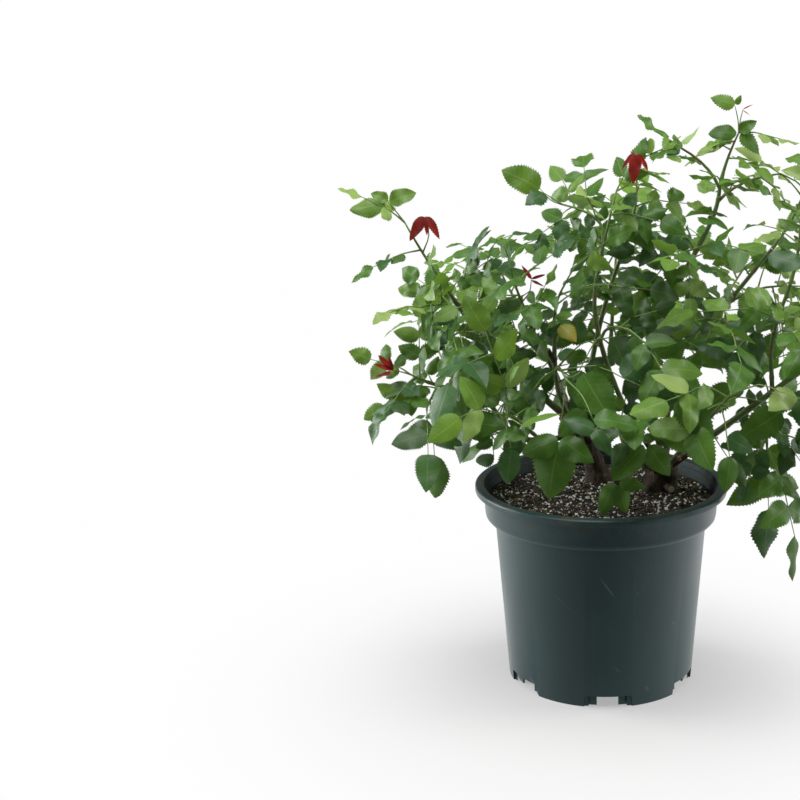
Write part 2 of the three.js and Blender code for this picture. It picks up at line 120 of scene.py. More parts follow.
class Draws:
    """Even numbers from 0 to 1 that repeat for the same seed."""

    def __init__(self, seed: int) -> None:
        """Starts the row of numbers at a seed."""
        self.state = seed & 0xFFFFFFFF

    def __call__(self) -> float:
        """The next number.

        Returns:
            A number from 0 up to 1.
        """
        self.state = (self.state + 0x6D2B79F5) & 0xFFFFFFFF
        mixed = ((self.state ^ (self.state >> 15)) * (self.state | 1)) & 0xFFFFFFFF
        more = ((mixed ^ (mixed >> 7)) * (mixed | 61)) & 0xFFFFFFFF
        mixed ^= (mixed + more) & 0xFFFFFFFF
        return (mixed ^ (mixed >> 14)) / 4294967296

    def between(self, low: float, high: float) -> float:
        """The next number, spread from low to high."""
        return low + (high - low) * self()


class Line:
    """A curve in space, read by its share from 0 at its foot to 1 at its tip."""

    def point(self, share: float) -> np.ndarray:
        """The place at a share of the line."""
        raise NotImplementedError

    def tangent(self, share: float) -> np.ndarray:
        """The direction at a share of the line."""
        low, high = max(share - 1e-4, 0.0), min(share + 1e-4, 1.0)
        return unit(self.point(high) - self.point(low))

    def steady_axis(self) -> np.ndarray:
        """The world axis that is least in line with the chord, which steadies sections.

        Returns:
            The axis, of length one.
        """
        x, y, z = np.abs(self.point(1.0) - self.point(0.0))
        if x <= y and x <= z:
            return np.array([1.0, 0.0, 0.0])
        return np.array([0.0, 1.0, 0.0]) if y <= z else UP

    def cross_axes(self, share: float) -> tuple[np.ndarray, np.ndarray, np.ndarray]:
        """The direction at a share, and two axes square to it and to each other.

        Args:
            share: the place along the line.

        Returns:
            The direction and the two axes, each of length one.
        """
        forward = self.tangent(share)
        across = unit(cross(self.steady_axis(), forward))
        return forward, across, cross(forward, across)

    def section(self, share: float, radius: float, sides: int) -> np.ndarray:
        """The corners of the line's section.

        Args:
            share: the place along the line.
            radius: from the line to each corner.
            sides: how many corners.

        Returns:
            One row for each corner.
        """
        _, across, other = self.cross_axes(share)
        angles = np.arange(sides) * 2 * math.pi / sides
        rim = np.outer(np.cos(angles), across) + np.outer(np.sin(angles), other)
        return self.point(share) + radius * rim

    def seat(self, share: float, radius: float) -> Matrix:
        """The matrix that sets a flat unit ring square to the line, in metres.

        Args:
            share: the place along the line.
            radius: the size of the ring.

        Returns:
            The matrix.
        """
        forward, across, other = self.cross_axes(share)
        turn = np.column_stack([across * radius, other * radius, forward * radius]) * MM
        seat = Matrix(turn.tolist()).to_4x4()
        seat.translation = Vector(self.point(share) * MM)
        return seat


class SmoothLine(Line):
    """A curve that passes through all its places."""

    def __init__(self, places: Sequence[np.ndarray]) -> None:
        """Takes the places, and goes on past both ends by one more."""
        inner = [np.asarray(p, float) for p in places]
        self.places = [2 * inner[0] - inner[1], *inner, 2 * inner[-1] - inner[-2]]

    def point(self, share: float) -> np.ndarray:
        """The place at a share of the line.

        Args:
            share: the place along the line.

        Returns:
            The place, in millimetres.
        """
        steps = len(self.places) - 3
        at = min(int(math.floor(steps * share)), steps - 1)
        t = steps * share - at
        a, b, c, d = self.places[at : at + 4]
        lead, trail = 0.5 * (c - a), 0.5 * (d - b)
        bend = -3 * b + 3 * c - 2 * lead - trail
        return b + lead * t + bend * t * t + (2 * b - 2 * c + lead + trail) * t**3


class BentLine(Line):
    """A curve from its foot to its tip, drawn towards a place between them."""

    def __init__(self, foot: np.ndarray, pull: np.ndarray, tip: np.ndarray) -> None:
        """Takes the foot, the place that the line bends towards, and the tip."""
        self.foot, self.pull, self.tip = foot, pull, tip

    def point(self, share: float) -> np.ndarray:
        """The place at a share of the line."""
        rest = 1 - share
        return rest * rest * self.foot + 2 * rest * share * self.pull + share * share * self.tip


# ---- shader writing


def linear(code: int) -> tuple[float, float, float, float]:
    """The linear colour of a screen colour.

    Args:
        code: the screen colour as 0xRRGGBB.

    Returns:
        Red, green and blue in linear light, and a full alpha.
    """
    shares = [((code >> shift) & 255) / 255 for shift in (16, 8, 0)]
    r, g, b = [s / 12.92 if s <= 0.04045 else ((s + 0.055) / 1.055) ** 2.4 for s in shares]
    return r, g, b, 1.0


class Recipe:
    """Writes the nodes of one material, group or world."""

    def __init__(self, tree: NodeTree) -> None:
        """Takes the tree, which it writes to."""
        self.tree = tree

    def add(self, kind: str, inputs: dict[str, Any] | None = None, **settings: Any) -> Any:
        """Adds a node.

        Args:
            kind: the node's full type.
            inputs: a socket to link or a plain value for each named input.
            settings: the node's own settings.

        Returns:
            The node.
        """
        node = self.tree.nodes.new(kind)
        for key, value in settings.items():
            setattr(node, key, value)
        for key, value in (inputs or {}).items():
            self.feed(node.inputs[key], value)
        return node

    def first(self, kind: str) -> Any:
        """The node of a type that the tree starts with."""
        return next(node for node in self.tree.nodes if node.type == kind)

    def feed(self, socket: Any, value: Any) -> None:
        """Links a socket to an input, or sets the input's own value.

        Args:
            socket: the input to feed.
            value: a socket to link, or a plain value.
        """
        if isinstance(value, bpy.types.NodeSocket):
            self.tree.links.new(value, socket)
        else:
            socket.default_value = value

    def maths(self, operation: str, *values: Any) -> Any:
        """The result of a sum of one to three values.

        Args:
            operation: the Math node's operation.
            values: a socket or a number for each input.

        Returns:
            The result's socket.
        """
        node = self.tree.nodes.new("ShaderNodeMath")
        node.operation = operation
        for socket, value in zip(node.inputs, values):
            self.feed(socket, value)
        return node.outputs[0]

    def blend(self, share: Any, first: Any, second: Any, mode: str = "MIX") -> Any:
        """A colour between two.

        Args:
            share: how much of the second, a value or a socket.
            first: the colour at share 0.
            second: the colour at share 1.
            mode: the way of blending.

        Returns:
            The colour's socket.
        """
        node = self.tree.nodes.new("ShaderNodeMix")
        node.data_type, node.blend_type, node.clamp_factor = "RGBA", mode, True
        self.feed(node.inputs[0], share)
        self.feed(node.inputs[6], first)
        self.feed(node.inputs[7], second)
        return node.outputs[2]

    def stretch(self, value: Any, low: float, high: float, start: float = 0, end: float = 1) -> Any:
        """A value eased from one span to another, and held inside it.

        Args:
            value: the socket to read.
            low: the value that gives the start.
            high: the value that gives the end.
            start: the result at the low value.
            end: the result at the high value.

        Returns:
            The result's socket.
        """
        inputs = {"Value": value, "From Min": low, "From Max": high, "To Min": start, "To Max": end}
        node = self.add("ShaderNodeMapRange", inputs, interpolation_type="SMOOTHSTEP", clamp=True)
        return node.outputs[0]

    def place(self) -> Any:
        """Where a point is on its piece, in metres."""
        return self.add("ShaderNodeTexCoord").outputs["Object"]

    def scaled(self, where: Any, x: float, y: float, z: float) -> Any:
        """A place stretched along the three axes."""
        return self.add("ShaderNodeMapping", {"Vector": where, "Scale": (x, y, z)}).outputs[0]

    def cloud(self, where: Any, scale: float, detail: float = 3, rough: float = 0.55) -> Any:
        """A cloudy value round 0.5, with so many lumps a metre."""
        inputs = {"Vector": where, "Scale": scale, "Detail": detail, "Roughness": rough}
        return self.add("ShaderNodeTexNoise", inputs).outputs[0]

    def group(self, tree: NodeTree, inputs: dict[str, Any]) -> Any:
        """Places a shared effect with its own values.

        Args:
            tree: the effect's node group.
            inputs: a socket or a plain value for each named input.

        Returns:
            The group's node.
        """
        node = self.tree.nodes.new("ShaderNodeGroup")
        node.node_tree = tree
        for key, value in inputs.items():
            self.feed(node.inputs[key], value)
        return node


class Effects:
    """The effects that several finishes share, each a node group that is built once."""

    def start(
        self, name: str, inputs: dict[str, str], outputs: dict[str, str]
    ) -> tuple[Recipe, Any, Any]:
        """Starts a group.

        Args:
            name: the group's name.
            inputs: the kind of each input by name.
            outputs: the kind of each output by name.

        Returns:
            The group's recipe, its input node and its output node.
        """
        tree = bpy.data.node_groups.new(name, "ShaderNodeTree")
        for side, sockets in (("INPUT", inputs), ("OUTPUT", outputs)):
            for socket, kind in sockets.items():
                tree.interface.new_socket(socket, in_out=side, socket_type=f"NodeSocket{kind}")
        recipe = Recipe(tree)
        return recipe, recipe.add("NodeGroupInput"), recipe.add("NodeGroupOutput")

    def __init__(self) -> None:
        """Builds the groups."""
        self.mottle = self.build_mottle()
        self.relief = self.build_relief()
        self.dust = self.build_dust()
        self.veins = self.build_veins()

    def build_mottle(self) -> NodeTree:
        """Cloudy patches of a second colour, broad ones with finer ones inside.

        Returns:
            The node group.
        """
        inputs = {"Where": "Vector", "Scale": "Float", "Amount": "Float"}
        inputs |= {"Colour": "Color", "Patches": "Color"}
        recipe, given, out = self.start("mottle", inputs, {"Colour": "Color", "Mask": "Float"})
        spots = {"Vector": given.outputs["Where"], "Scale": given.outputs["Scale"], "Detail": 5.0}
        cloud = recipe.add("ShaderNodeTexNoise", spots).outputs[0]
        mask = recipe.maths("MULTIPLY", recipe.stretch(cloud, 0.38, 0.66), given.outputs["Amount"])
        mixed = recipe.blend(mask, given.outputs["Colour"], given.outputs["Patches"])
        recipe.feed(out.inputs["Colour"], mixed)
        recipe.feed(out.inputs["Mask"], mask)
        return recipe.tree

    def build_relief(self) -> NodeTree:
        """A height from coarse lumps and fine grain.

        Returns:
            The node group.
        """
        inputs = {"Where": "Vector", "Coarse": "Float", "Fine": "Float", "Share": "Float"}
        recipe, given, out = self.start("relief", inputs, {"Height": "Float"})
        where = given.outputs["Where"]
        coarse, fine = (
            recipe.add("ShaderNodeTexNoise", {"Vector": where, "Scale": given.outputs[size]})
            for size in ("Coarse", "Fine")
        )
        less = recipe.maths("MULTIPLY", fine.outputs[0], given.outputs["Share"])
        recipe.feed(out.inputs["Height"], recipe.maths("ADD", coarse.outputs[0], less))
        return recipe.tree

    def build_dust(self) -> NodeTree:
        """Dried soil that clings in patches above a level.

        Returns:
            The node group.
        """
        inputs = {"Where": "Vector", "Foot": "Float", "Top": "Float", "Amount": "Float"}
        inputs |= {"Colour": "Color", "Dust": "Color"}
        recipe, given, out = self.start("dust", inputs, {"Colour": "Color", "Mask": "Float"})
        where = given.outputs["Where"]
        height = recipe.add("ShaderNodeSeparateXYZ", {"Vector": where}).outputs["Z"]
        span = {"From Min": given.outputs["Foot"], "From Max": given.outputs["Top"]}
        level = recipe.add("ShaderNodeMapRange", {"Value": height, **span}, clamp=True).outputs[0]
        patch = recipe.stretch(recipe.cloud(where, 34, 6, 0.7), 0.42, 0.72)
        speck = recipe.stretch(recipe.cloud(where, 420, 2), 0.56, 0.7)
        both = recipe.maths("MAXIMUM", patch, recipe.maths("MULTIPLY", speck, 0.7))
        most = recipe.maths("MULTIPLY", both, level)
        mask = recipe.maths("MULTIPLY", most, given.outputs["Amount"])
        dusted = recipe.blend(mask, given.outputs["Colour"], given.outputs["Dust"])
        recipe.feed(out.inputs["Colour"], dusted)
        recipe.feed(out.inputs["Mask"], mask)
        return recipe.tree

    def build_veins(self) -> NodeTree:
        """The midrib and side veins of a leaflet, from its own map: along it, and across it.

        Returns:
            The node group.
        """
        recipe, given, out = self.start(
            "leaf_veins", {"Map": "Vector"}, {"Rib": "Float", "Veins": "Float", "Height": "Float"}
        )
        parts = recipe.add("ShaderNodeSeparateXYZ", {"Vector": given.outputs["Map"]})
        side = recipe.maths("ABSOLUTE", recipe.maths("MULTIPLY_ADD", parts.outputs["Y"], 2, -1))
        rib = recipe.stretch(side, 0.015, 0.07, 1, 0)
        lean = recipe.maths("MULTIPLY_ADD", side, -0.16, parts.outputs["X"])
        wave = recipe.maths("PINGPONG", recipe.maths("MULTIPLY", lean, 9.0), 0.5)
        veins = recipe.maths("MULTIPLY", recipe.stretch(wave, 0.0, 0.13, 1, 0), 0.6)
        bulge = recipe.maths("MULTIPLY", wave, 0.8)
        height = recipe.maths("SUBTRACT", bulge, recipe.maths("MULTIPLY", rib, 0.8))
        recipe.feed(out.inputs["Rib"], rib)
        recipe.feed(out.inputs["Veins"], veins)
        recipe.feed(out.inputs["Height"], height)
        return recipe.tree


# ---- finishes


@dataclass(frozen=True)
class Grain:
    """A relief: coarse lumps and fine grains a metre, the grains' share, and how much shows."""

    coarse: float
    fine: float
    share: float
    strength: float


@dataclass(frozen=True)
class Kit:
    """What a finish is made with: its nodes, its main shader, the place on it, the effects."""

    recipe: Recipe
    shader: Any
    where: Any
    effects: Effects


@dataclass(frozen=True)
class Finish:
    """What every finish has: a name, its colours, its gloss and the depth of its relief."""

    name: str
    base: int
    second: int
    roughness: float
    depth: float

    def material(self, effects: Effects) -> Material:
        """Makes the material.

        Args:
            effects: the shared effects.

        Returns:
            The material.
        """
        material = bpy.data.materials.new(self.name)
        material.use_nodes = True
        recipe = Recipe(material.node_tree)
        self.dress(Kit(recipe, recipe.first("BSDF_PRINCIPLED"), recipe.place(), effects))
        return material

    def dress(self, kit: Kit) -> None:
        """Makes the nodes, which each finish does in its own way."""
        raise NotImplementedError

    def mottled(self, kit: Kit, scale: float, amount: float) -> Any:
        """Places cloudy patches of the second colour on the first.

        Args:
            kit: what the nodes are made with.
            scale: how many patches a metre.
            amount: how much of the second colour shows.

        Returns:
            The effect's node.
        """
        patches = {"Where": kit.where, "Scale": scale, "Amount": amount}
        patches |= {"Colour": linear(self.base), "Patches": linear(self.second)}
        return kit.recipe.group(kit.effects.mottle, patches)

    def grained(self, kit: Kit, where: Any, grain: Grain) -> None:
        """Gives the main shader the shared relief.

        Args:
            kit: what the nodes are made with.
            where: the place on the piece.
            grain: the relief's sizes.
        """
        sizes = {"Coarse": grain.coarse, "Fine": grain.fine, "Share": grain.share}
        relief = kit.recipe.group(kit.effects.relief, {"Where": where, **sizes})
        self.bump(kit, relief.outputs["Height"], grain.strength)

    def bump(self, kit: Kit, height: Any, strength: float) -> None:
        """Gives the main shader a relief.

        Args:
            kit: what the nodes are made with.
            height: the relief's height, from 0 to about 1.
            strength: how much of it shows.
        """
        inputs = {"Height": height, "Strength": strength, "Distance": self.depth * MM}
        raised = kit.recipe.add("ShaderNodeBump", inputs).outputs[0]
        kit.recipe.feed(kit.shader.inputs["Normal"], raised)


@dataclass(frozen=True)
class PlasticFinish(Finish):
    """Moulded black-green plastic: soft gloss, flow lines, scuffs, dust and painted shade inside.
    """

    flow_mark: int = 0x41504F
    scuff_mark: int = 0x5E6A66
    scrape_mark: int = 0x8A9A98
    dust: int = 0x57503F
    # near-black colour of the painted shade on the walls that face the pot's axis
    painted_inside_shade: int = 0x14120E
    dusty: tuple[float, float] = (150.0, 182.0)
    scrape: tuple[float, float, float] = (6.9, -91.9, 114.6)
    scrape_reach: tuple[float, float, float] = (14.5, 20.0, 1.3)
    scrape_turn: float = -56.0

    def dress(self, kit: Kit) -> None:
        """Makes the nodes of the plastic.

        Args:
            kit: what they are made with.
        """
        recipe, shader, where = kit.recipe, kit.shader, kit.where
        mottle = self.mottled(kit, 11.0, 0.8)
        flow = recipe.stretch(recipe.cloud(recipe.scaled(where, 1, 1, 0.05), 160, 2), 0.45, 0.75)
        faint = recipe.maths("MULTIPLY", flow, 0.06)
        streaked = recipe.blend(faint, mottle.outputs["Colour"], linear(self.flow_mark))
        diagonal = recipe.add("ShaderNodeMapping", {"Vector": where, "Rotation": (0.3, 0.9, 0.2)})
        thin = recipe.scaled(diagonal.outputs[0], 1, 1, 0.06)
        scuff = recipe.stretch(recipe.cloud(thin, 120, 1), 0.735, 0.78)
        light = recipe.maths("MULTIPLY", scuff, 0.3)
        scuffed = recipe.blend(light, streaked, linear(self.scuff_mark))
        scraped = recipe.blend(self.scraped(recipe, where), scuffed, linear(self.scrape_mark))
        clinging = {"Where": where, "Foot": self.dusty[0] * MM, "Top": self.dusty[1] * MM}
        clinging |= {"Amount": 0.5, "Colour": scraped, "Dust": linear(self.dust)}
        dust = recipe.group(kit.effects.dust, clinging)
        # Painted shade: the walls that face the pot's axis are darkened most of the way to a
        # near-black brown.
        inside = self.inside(recipe, where)
        painted_inside_shade = recipe.maths("MULTIPLY", inside, 0.85)
        with_painted_inside_shade = recipe.blend(painted_inside_shade, dust.outputs["Colour"], linear(self.painted_inside_shade))
        recipe.feed(shader.inputs["Base Color"], with_painted_inside_shade)
        shader.inputs["Specular IOR Level"].default_value = 0.56
        shader.inputs["Specular Tint"].default_value = (0.72, 0.96, 1.0, 1.0)
        rough = recipe.maths("MULTIPLY_ADD", mottle.outputs["Mask"], 0.1, self.roughness)
        dusty = recipe.maths("MULTIPLY_ADD", dust.outputs["Mask"], 0.45, rough)
        recipe.feed(shader.inputs["Roughness"], recipe.maths("MULTIPLY_ADD", inside, 0.3, dusty))
        self.grained(kit, where, Grain(60.0, 1500.0, 0.25, 0.35))

    def inside(self, recipe: Recipe, where: Any) -> Any:
        """The mask of the walls that face the pot's axis.

        Args:
            recipe: the material's nodes.
            where: the place on the pot.

        Returns:
            The mask's socket.
        """
        facing = recipe.add("ShaderNodeTexCoord").outputs["Normal"]
        level = {0: recipe.scaled(where, 1, 1, 0)}
        outward = recipe.add("ShaderNodeVectorMath", level, operation="NORMALIZE")
        both = {0: facing, 1: outward.outputs["Vector"]}
        alike = recipe.add("ShaderNodeVectorMath", both, operation="DOT_PRODUCT")
        return recipe.stretch(alike.outputs["Value"], -0.7, -0.3, 1, 0)

    def scraped(self, recipe: Recipe, where: Any) -> Any:
        """The mask of the one long scrape on the pot's front.

        Args:
            recipe: the material's nodes.
            where: the place on the pot.

        Returns:
            The mask's socket.
        """
        turn = Euler((0, math.radians(self.scrape_turn), 0))
        middle = turn.to_matrix() @ Vector(self.scrape) * MM
        inputs = {"Vector": where, "Location": tuple(-middle), "Rotation": tuple(turn)}
        moved = recipe.add("ShaderNodeMapping", inputs).outputs[0]
        near = recipe.scaled(moved, *(1 / (reach * MM) for reach in self.scrape_reach))
        away = recipe.add("ShaderNodeVectorMath", {0: near}, operation="LENGTH").outputs["Value"]
        return recipe.stretch(away, 0.2, 1.0, 0.2, 0.0)


@dataclass(frozen=True)
class EarthFinish(Finish):
    """Damp potting mix: dark crumbs, mossy in places, with pale dry ones between them."""

    moss: int = 0x5C5A24
    dry: int = 0x8A8478

    def dress(self, kit: Kit) -> None:
        """Makes the nodes of the mix.

        Args:
            kit: what they are made with.
        """
        recipe, shader, where = kit.recipe, kit.shader, kit.where
        crumbs = self.mottled(kit, 240.0, 1.0)
        green = recipe.stretch(recipe.cloud(where, 22, 5, 0.65), 0.56, 0.68)
        some = recipe.maths("MULTIPLY", green, 0.55)
        mossy = recipe.blend(some, crumbs.outputs["Colour"], linear(self.moss))
        pale = recipe.stretch(recipe.cloud(where, 900, 2), 0.62, 0.7)
        dried = recipe.blend(recipe.maths("MULTIPLY", pale, 0.5), mossy, linear(self.dry))
        recipe.feed(shader.inputs["Base Color"], dried)
        shader.inputs["Roughness"].default_value = self.roughness
        self.grained(kit, where, Grain(380.0, 1400.0, 0.6, 1.0))


@dataclass(frozen=True)
class GrainFinish(Finish):
    """Small mottled things: the loose bits in the potting mix, prickles and cut wood."""

    scale: float = 60.0

    def dress(self, kit: Kit) -> None:
        """Makes the nodes of the small things.

        Args:
            kit: what they are made with.
        """
        recipe, shader, where = kit.recipe, kit.shader, kit.where
        mottle = self.mottled(kit, self.scale, 1.0)
        recipe.feed(shader.inputs["Base Color"], mottle.outputs["Colour"])
        shader.inputs["Roughness"].default_value = self.roughness
        self.grained(kit, where, Grain(700.0, 2400.0, 0.5, 0.8))


@dataclass(frozen=True)
class BarkFinish(Finish):
    """Old rose bark: ridged and cracked along the trunk, with a paler bloom in patches."""

    bloom: int = 0x7C6B56
    crack: int = 0x17100B

    def dress(self, kit: Kit) -> None:
        """Makes the nodes of the bark.

        Args:
            kit: what they are made with.
        """
        recipe, shader, where = kit.recipe, kit.shader, kit.where
        mottle = self.mottled(kit, 75.0, 1.0)
        along = recipe.scaled(where, 1, 1, 0.22)
        ridges = recipe.cloud(along, 420, 5, 0.65)
        deep = recipe.stretch(ridges, 0.36, 0.5, 1, 0)
        cracked = recipe.blend(deep, mottle.outputs["Colour"], linear(self.crack))
        patch = recipe.stretch(recipe.cloud(where, 150, 4, 0.7), 0.58, 0.72)
        bloomed = recipe.blend(recipe.maths("MULTIPLY", patch, 0.5), cracked, linear(self.bloom))
        recipe.feed(shader.inputs["Base Color"], bloomed)
        shader.inputs["Roughness"].default_value = self.roughness
        self.bump(kit, ridges, 1.0)


@dataclass(frozen=True)
class CaneFinish(Finish):
    """Smooth green cane that turns to brown bark low down, with red at its nodes."""

    bark: int = 0x46352A
    blush: int = 0x7A3B2C

    def dress(self, kit: Kit) -> None:
        """Makes the nodes of the canes.

        Args:
            kit: what they are made with.
        """
        recipe, shader, where = kit.recipe, kit.shader, kit.where
        grown = recipe.add("ShaderNodeAttribute", attribute_name="grown").outputs["Fac"]
        node = recipe.add("ShaderNodeAttribute", attribute_name="node").outputs["Fac"]
        mottle = self.mottled(kit, 55.0, 0.9)
        edge = recipe.maths("MULTIPLY_ADD", recipe.cloud(where, 90, 4), 0.3, -0.15)
        young = recipe.stretch(recipe.maths("ADD", grown, edge), 0.1, 0.34)
        barked = recipe.blend(young, linear(self.bark), mottle.outputs["Colour"])
        red = recipe.maths("MULTIPLY", node, 0.5)
        recipe.feed(shader.inputs["Base Color"], recipe.blend(red, barked, linear(self.blush)))
        rough = recipe.maths("MULTIPLY_ADD", young, -0.25, self.roughness)
        recipe.feed(shader.inputs["Roughness"], rough)
        along = recipe.scaled(where, 1, 1, 0.3)
        self.grained(kit, along, Grain(500.0, 1800.0, 0.4, 0.6))


@dataclass(frozen=True)
class StemFinish(Finish):
    """Young green skin of shoots and leaf stalks, flushed with red in patches."""

    flush: int = 0x8A4A34
    share: float = 0.4

    def dress(self, kit: Kit) -> None:
        """Makes the nodes of the skin.

        Args:
            kit: what they are made with.
        """
        recipe, shader, where = kit.recipe, kit.shader, kit.where
        mottle = self.mottled(kit, 60.0, 1.0)
        red = recipe.stretch(recipe.cloud(where, 32, 3), 0.5, 0.7)
        some = recipe.maths("MULTIPLY", red, self.share)
        flushed = recipe.blend(some, mottle.outputs["Colour"], linear(self.flush))
        recipe.feed(shader.inputs["Base Color"], flushed)
        shader.inputs["Roughness"].default_value = self.roughness
        self.grained(kit, where, Grain(600.0, 2000.0, 0.4, 0.4))


@dataclass(frozen=True)
class LeafFinish(Finish):
    """A leaflet's blade: veined, a little glossy, paler below, lit through."""

    under: int = 0x7F9A70
    vein: int = 0x8FA763
    glow: int = 0x7FA83A
    through: float = 0.22

    def dress(self, kit: Kit) -> None:
        """Makes the nodes of the blade.

        Args:
            kit: what they are made with.
        """
        recipe, shader, where = kit.recipe, kit.shader, kit.where
        flat = recipe.add("ShaderNodeUVMap", uv_map="leaflet").outputs[0]
        veins = recipe.group(kit.effects.veins, {"Map": flat})
        mottle = self.mottled(kit, 26.0, 0.9)
        fine = recipe.stretch(recipe.cloud(where, 380, 3), 0.35, 0.7)
        faint = recipe.maths("MULTIPLY", fine, 0.1)
        blade = recipe.blend(faint, mottle.outputs["Colour"], linear(self.under))
        rib = recipe.maths("MULTIPLY", veins.outputs["Rib"], 0.42)
        side = recipe.maths("MULTIPLY", veins.outputs["Veins"], 0.22)
        lined = recipe.maths("MAXIMUM", rib, side)
        upper = recipe.blend(lined, blade, linear(self.vein))
        back = recipe.add("ShaderNodeNewGeometry").outputs["Backfacing"]
        recipe.feed(shader.inputs["Base Color"], recipe.blend(back, upper, linear(self.under)))
        rough = recipe.maths("MULTIPLY_ADD", fine, 0.12, self.roughness)
        recipe.feed(shader.inputs["Roughness"], rough)
        shader.inputs["Specular IOR Level"].default_value = 0.3
        self.bump(kit, veins.outputs["Height"], 0.65)
        lit = recipe.add("ShaderNodeBsdfTranslucent", {"Color": linear(self.glow)})
        both = recipe.add("ShaderNodeMixShader", {0: self.through})
        recipe.feed(both.inputs[1], shader.outputs[0])
        recipe.feed(both.inputs[2], lit.outputs[0])
        recipe.feed(recipe.first("OUTPUT_MATERIAL").inputs["Surface"], both.outputs[0])


class Tint(Enum):
    """The tints of the leaves, dealt out leaf by leaf."""

    DEEP = LeafFinish("leaf_deep", 0x2A4619, 0x203A16, 0.40, 0.12, 0x55724A, 0x587638, 0x46701A)
    BLUISH = LeafFinish("leaf_bluish", 0x36582E, 0x2B4B27, 0.36, 0.12, 0x66845E, 0x66844E, 0x4E7A28)
    MIDDLE = LeafFinish("leaf_middle", 0x3E6420, 0x33561D, 0.38, 0.12, 0x6A884C, 0x749440, 0x648C20)
    LIGHT = LeafFinish("leaf_light", 0x5A7A2E, 0x4C6E2A, 0.38, 0.12, 0x7E9C5A, 0x8CAA52, 0x7CA42A)
    # The fresh tint is greyed a little: painted sheen of the top leaves, over the young growth's
    # paler green.
    FRESH = LeafFinish("leaf_fresh", 0x859A55, 0x768E4A, 0.36, 0.12, 0x92AA72, 0x9CB268, 0x82AA44)
    YELLOW = LeafFinish("leaf_yellow", 0x7E7618, 0x687020, 0.46, 0.12, 0x888240, 0x9C9240, 0x8E8A1C)
    RED = LeafFinish("leaf_red", 0x6C171E, 0x3A1118, 0.34, 0.12, 0x8A2C2A, 0xA03C28, 0xC83A1E, 0.34)


# ---- pieces


class Bench:
    """Turns finished meshes into pieces that ride on the frame."""

    def __init__(self) -> None:
        """Makes the shared effects and an empty store of materials."""
        self.effects = Effects()
        self.materials: dict[str, Material] = {}

    def finish(self, finish: Finish) -> Material:
        """The material of a finish, made once.

        Args:
            finish: the finish to look up.

        Returns:
            Its material, made at the first use.
        """
        if finish.name not in self.materials:
            self.materials[finish.name] = finish.material(self.effects)
        return self.materials[finish.name]

    def lay(
        self, name: str, mesh: Mesh, finish: Finish, nodes: Sequence[str] = ()
    ) -> bpy.types.Object:
        """Makes a piece.

        Args:
            name: the piece's name.
            mesh: its mesh, in metres and in place.
            finish: its finish.
            nodes: the frame's solids that it stands for.

        Returns:
            The piece's object.
        """
        mesh.name = name
        mesh.materials.clear()
        mesh.materials.append(self.finish(finish))
        piece = bpy.data.objects.new(name, mesh)
        bpy.context.scene.collection.objects.link(piece)
        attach(piece, "root")
        if nodes:
            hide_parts(*nodes)
        LOG.info("%s: %d faces", name, len(mesh.polygons))
        return piece


def kept_mesh(bm: Shape, name: str) -> Mesh:
    """A mesh from a shape, which is freed.

    Args:
        bm: the shape.
        name: the mesh's name.

    Returns:
        The mesh.
    """
    mesh = bpy.data.meshes.new(name)
    bm.to_mesh(mesh)
    bm.free()
    return mesh


def smooth(bm: Shape, sharp: float) -> None:
    """Smooths a shape, but for its sharp edges.

    Args:
        bm: the shape.
        sharp: the angle in degrees past which an edge is left sharp.
    """
    for face in bm.faces:
        face.smooth = True
    for edge in bm.edges:
        edge.smooth = edge.calc_face_angle(0.0) < math.radians(sharp)


def closed_mesh(bm: Shape, name: str, sharp: float = 35.0) -> Mesh:
    """A smoothed mesh from a shape, with its doubles merged and its faces out.

    Args:
        bm: the shape, which is freed.
        name: the mesh's name.
        sharp: the angle in degrees past which an edge is left sharp.

    Returns:
        The mesh.
    """
    bmesh.ops.remove_doubles(bm, verts=bm.verts, dist=1e-7)
    bmesh.ops.recalc_face_normals(bm, faces=bm.faces)
    smooth(bm, sharp)
    return kept_mesh(bm, name)


def spun(profile: Sequence[tuple[float, float]], steps: int) -> Shape:
    """A profile spun about the upright axis.

    Args:
        profile: radius and height of each corner, in millimetres.
        steps: how many steps make the round.

    Returns:
        The shape.
    """
    bm = bmesh.new()
    corners = [bm.verts.new((radius * MM, 0.0, height * MM)) for radius, height in profile]
    edges = [bm.edges.new(pair) for pair in zip(corners, corners[1:])]
    around = {"cent": (0, 0, 0), "axis": (0, 0, 1), "angle": 2 * math.pi}
    bmesh.ops.spin(bm, geom=corners + edges, steps=steps, use_merge=True, **around)
    bmesh.ops.remove_doubles(bm, verts=bm.verts, dist=1e-6)
    bmesh.ops.recalc_face_normals(bm, faces=bm.faces)
    return bm


def swept(bm: Shape, seats: Sequence[Matrix], sides: int) -> list[list[Any]]:
    """A round tube that passes through seated rings, closed at both ends.

    Args:
        bm: the shape that the tube joins.
        seats: the matrix of each ring, from the foot to the tip.
        sides: how many corners a ring has.

    Returns:
        The corners of each ring.
    """
    ring = bmesh.ops.create_circle(bm, segments=sides, radius=1.0, matrix=seats[0])["verts"]
    rings = [ring]
    edges = list({edge for vert in ring for edge in vert.link_edges})
    ends = list(edges)
    for near, far in zip(seats, seats[1:]):
        made = bmesh.ops.extrude_edge_only(bm, edges=edges)["geom"]
        ring = [item for item in made if isinstance(item, bmesh.types.BMVert)]
        corners = set(ring)
        lines = [item for item in made if isinstance(item, bmesh.types.BMEdge)]
        edges = [edge for edge in lines if set(edge.verts) <= corners]
        bmesh.ops.transform(bm, matrix=far @ near.inverted(), verts=ring)
        rings.append(ring)
    bmesh.ops.holes_fill(bm, edges=ends + edges, sides=0)
    return rings


# ---- pot


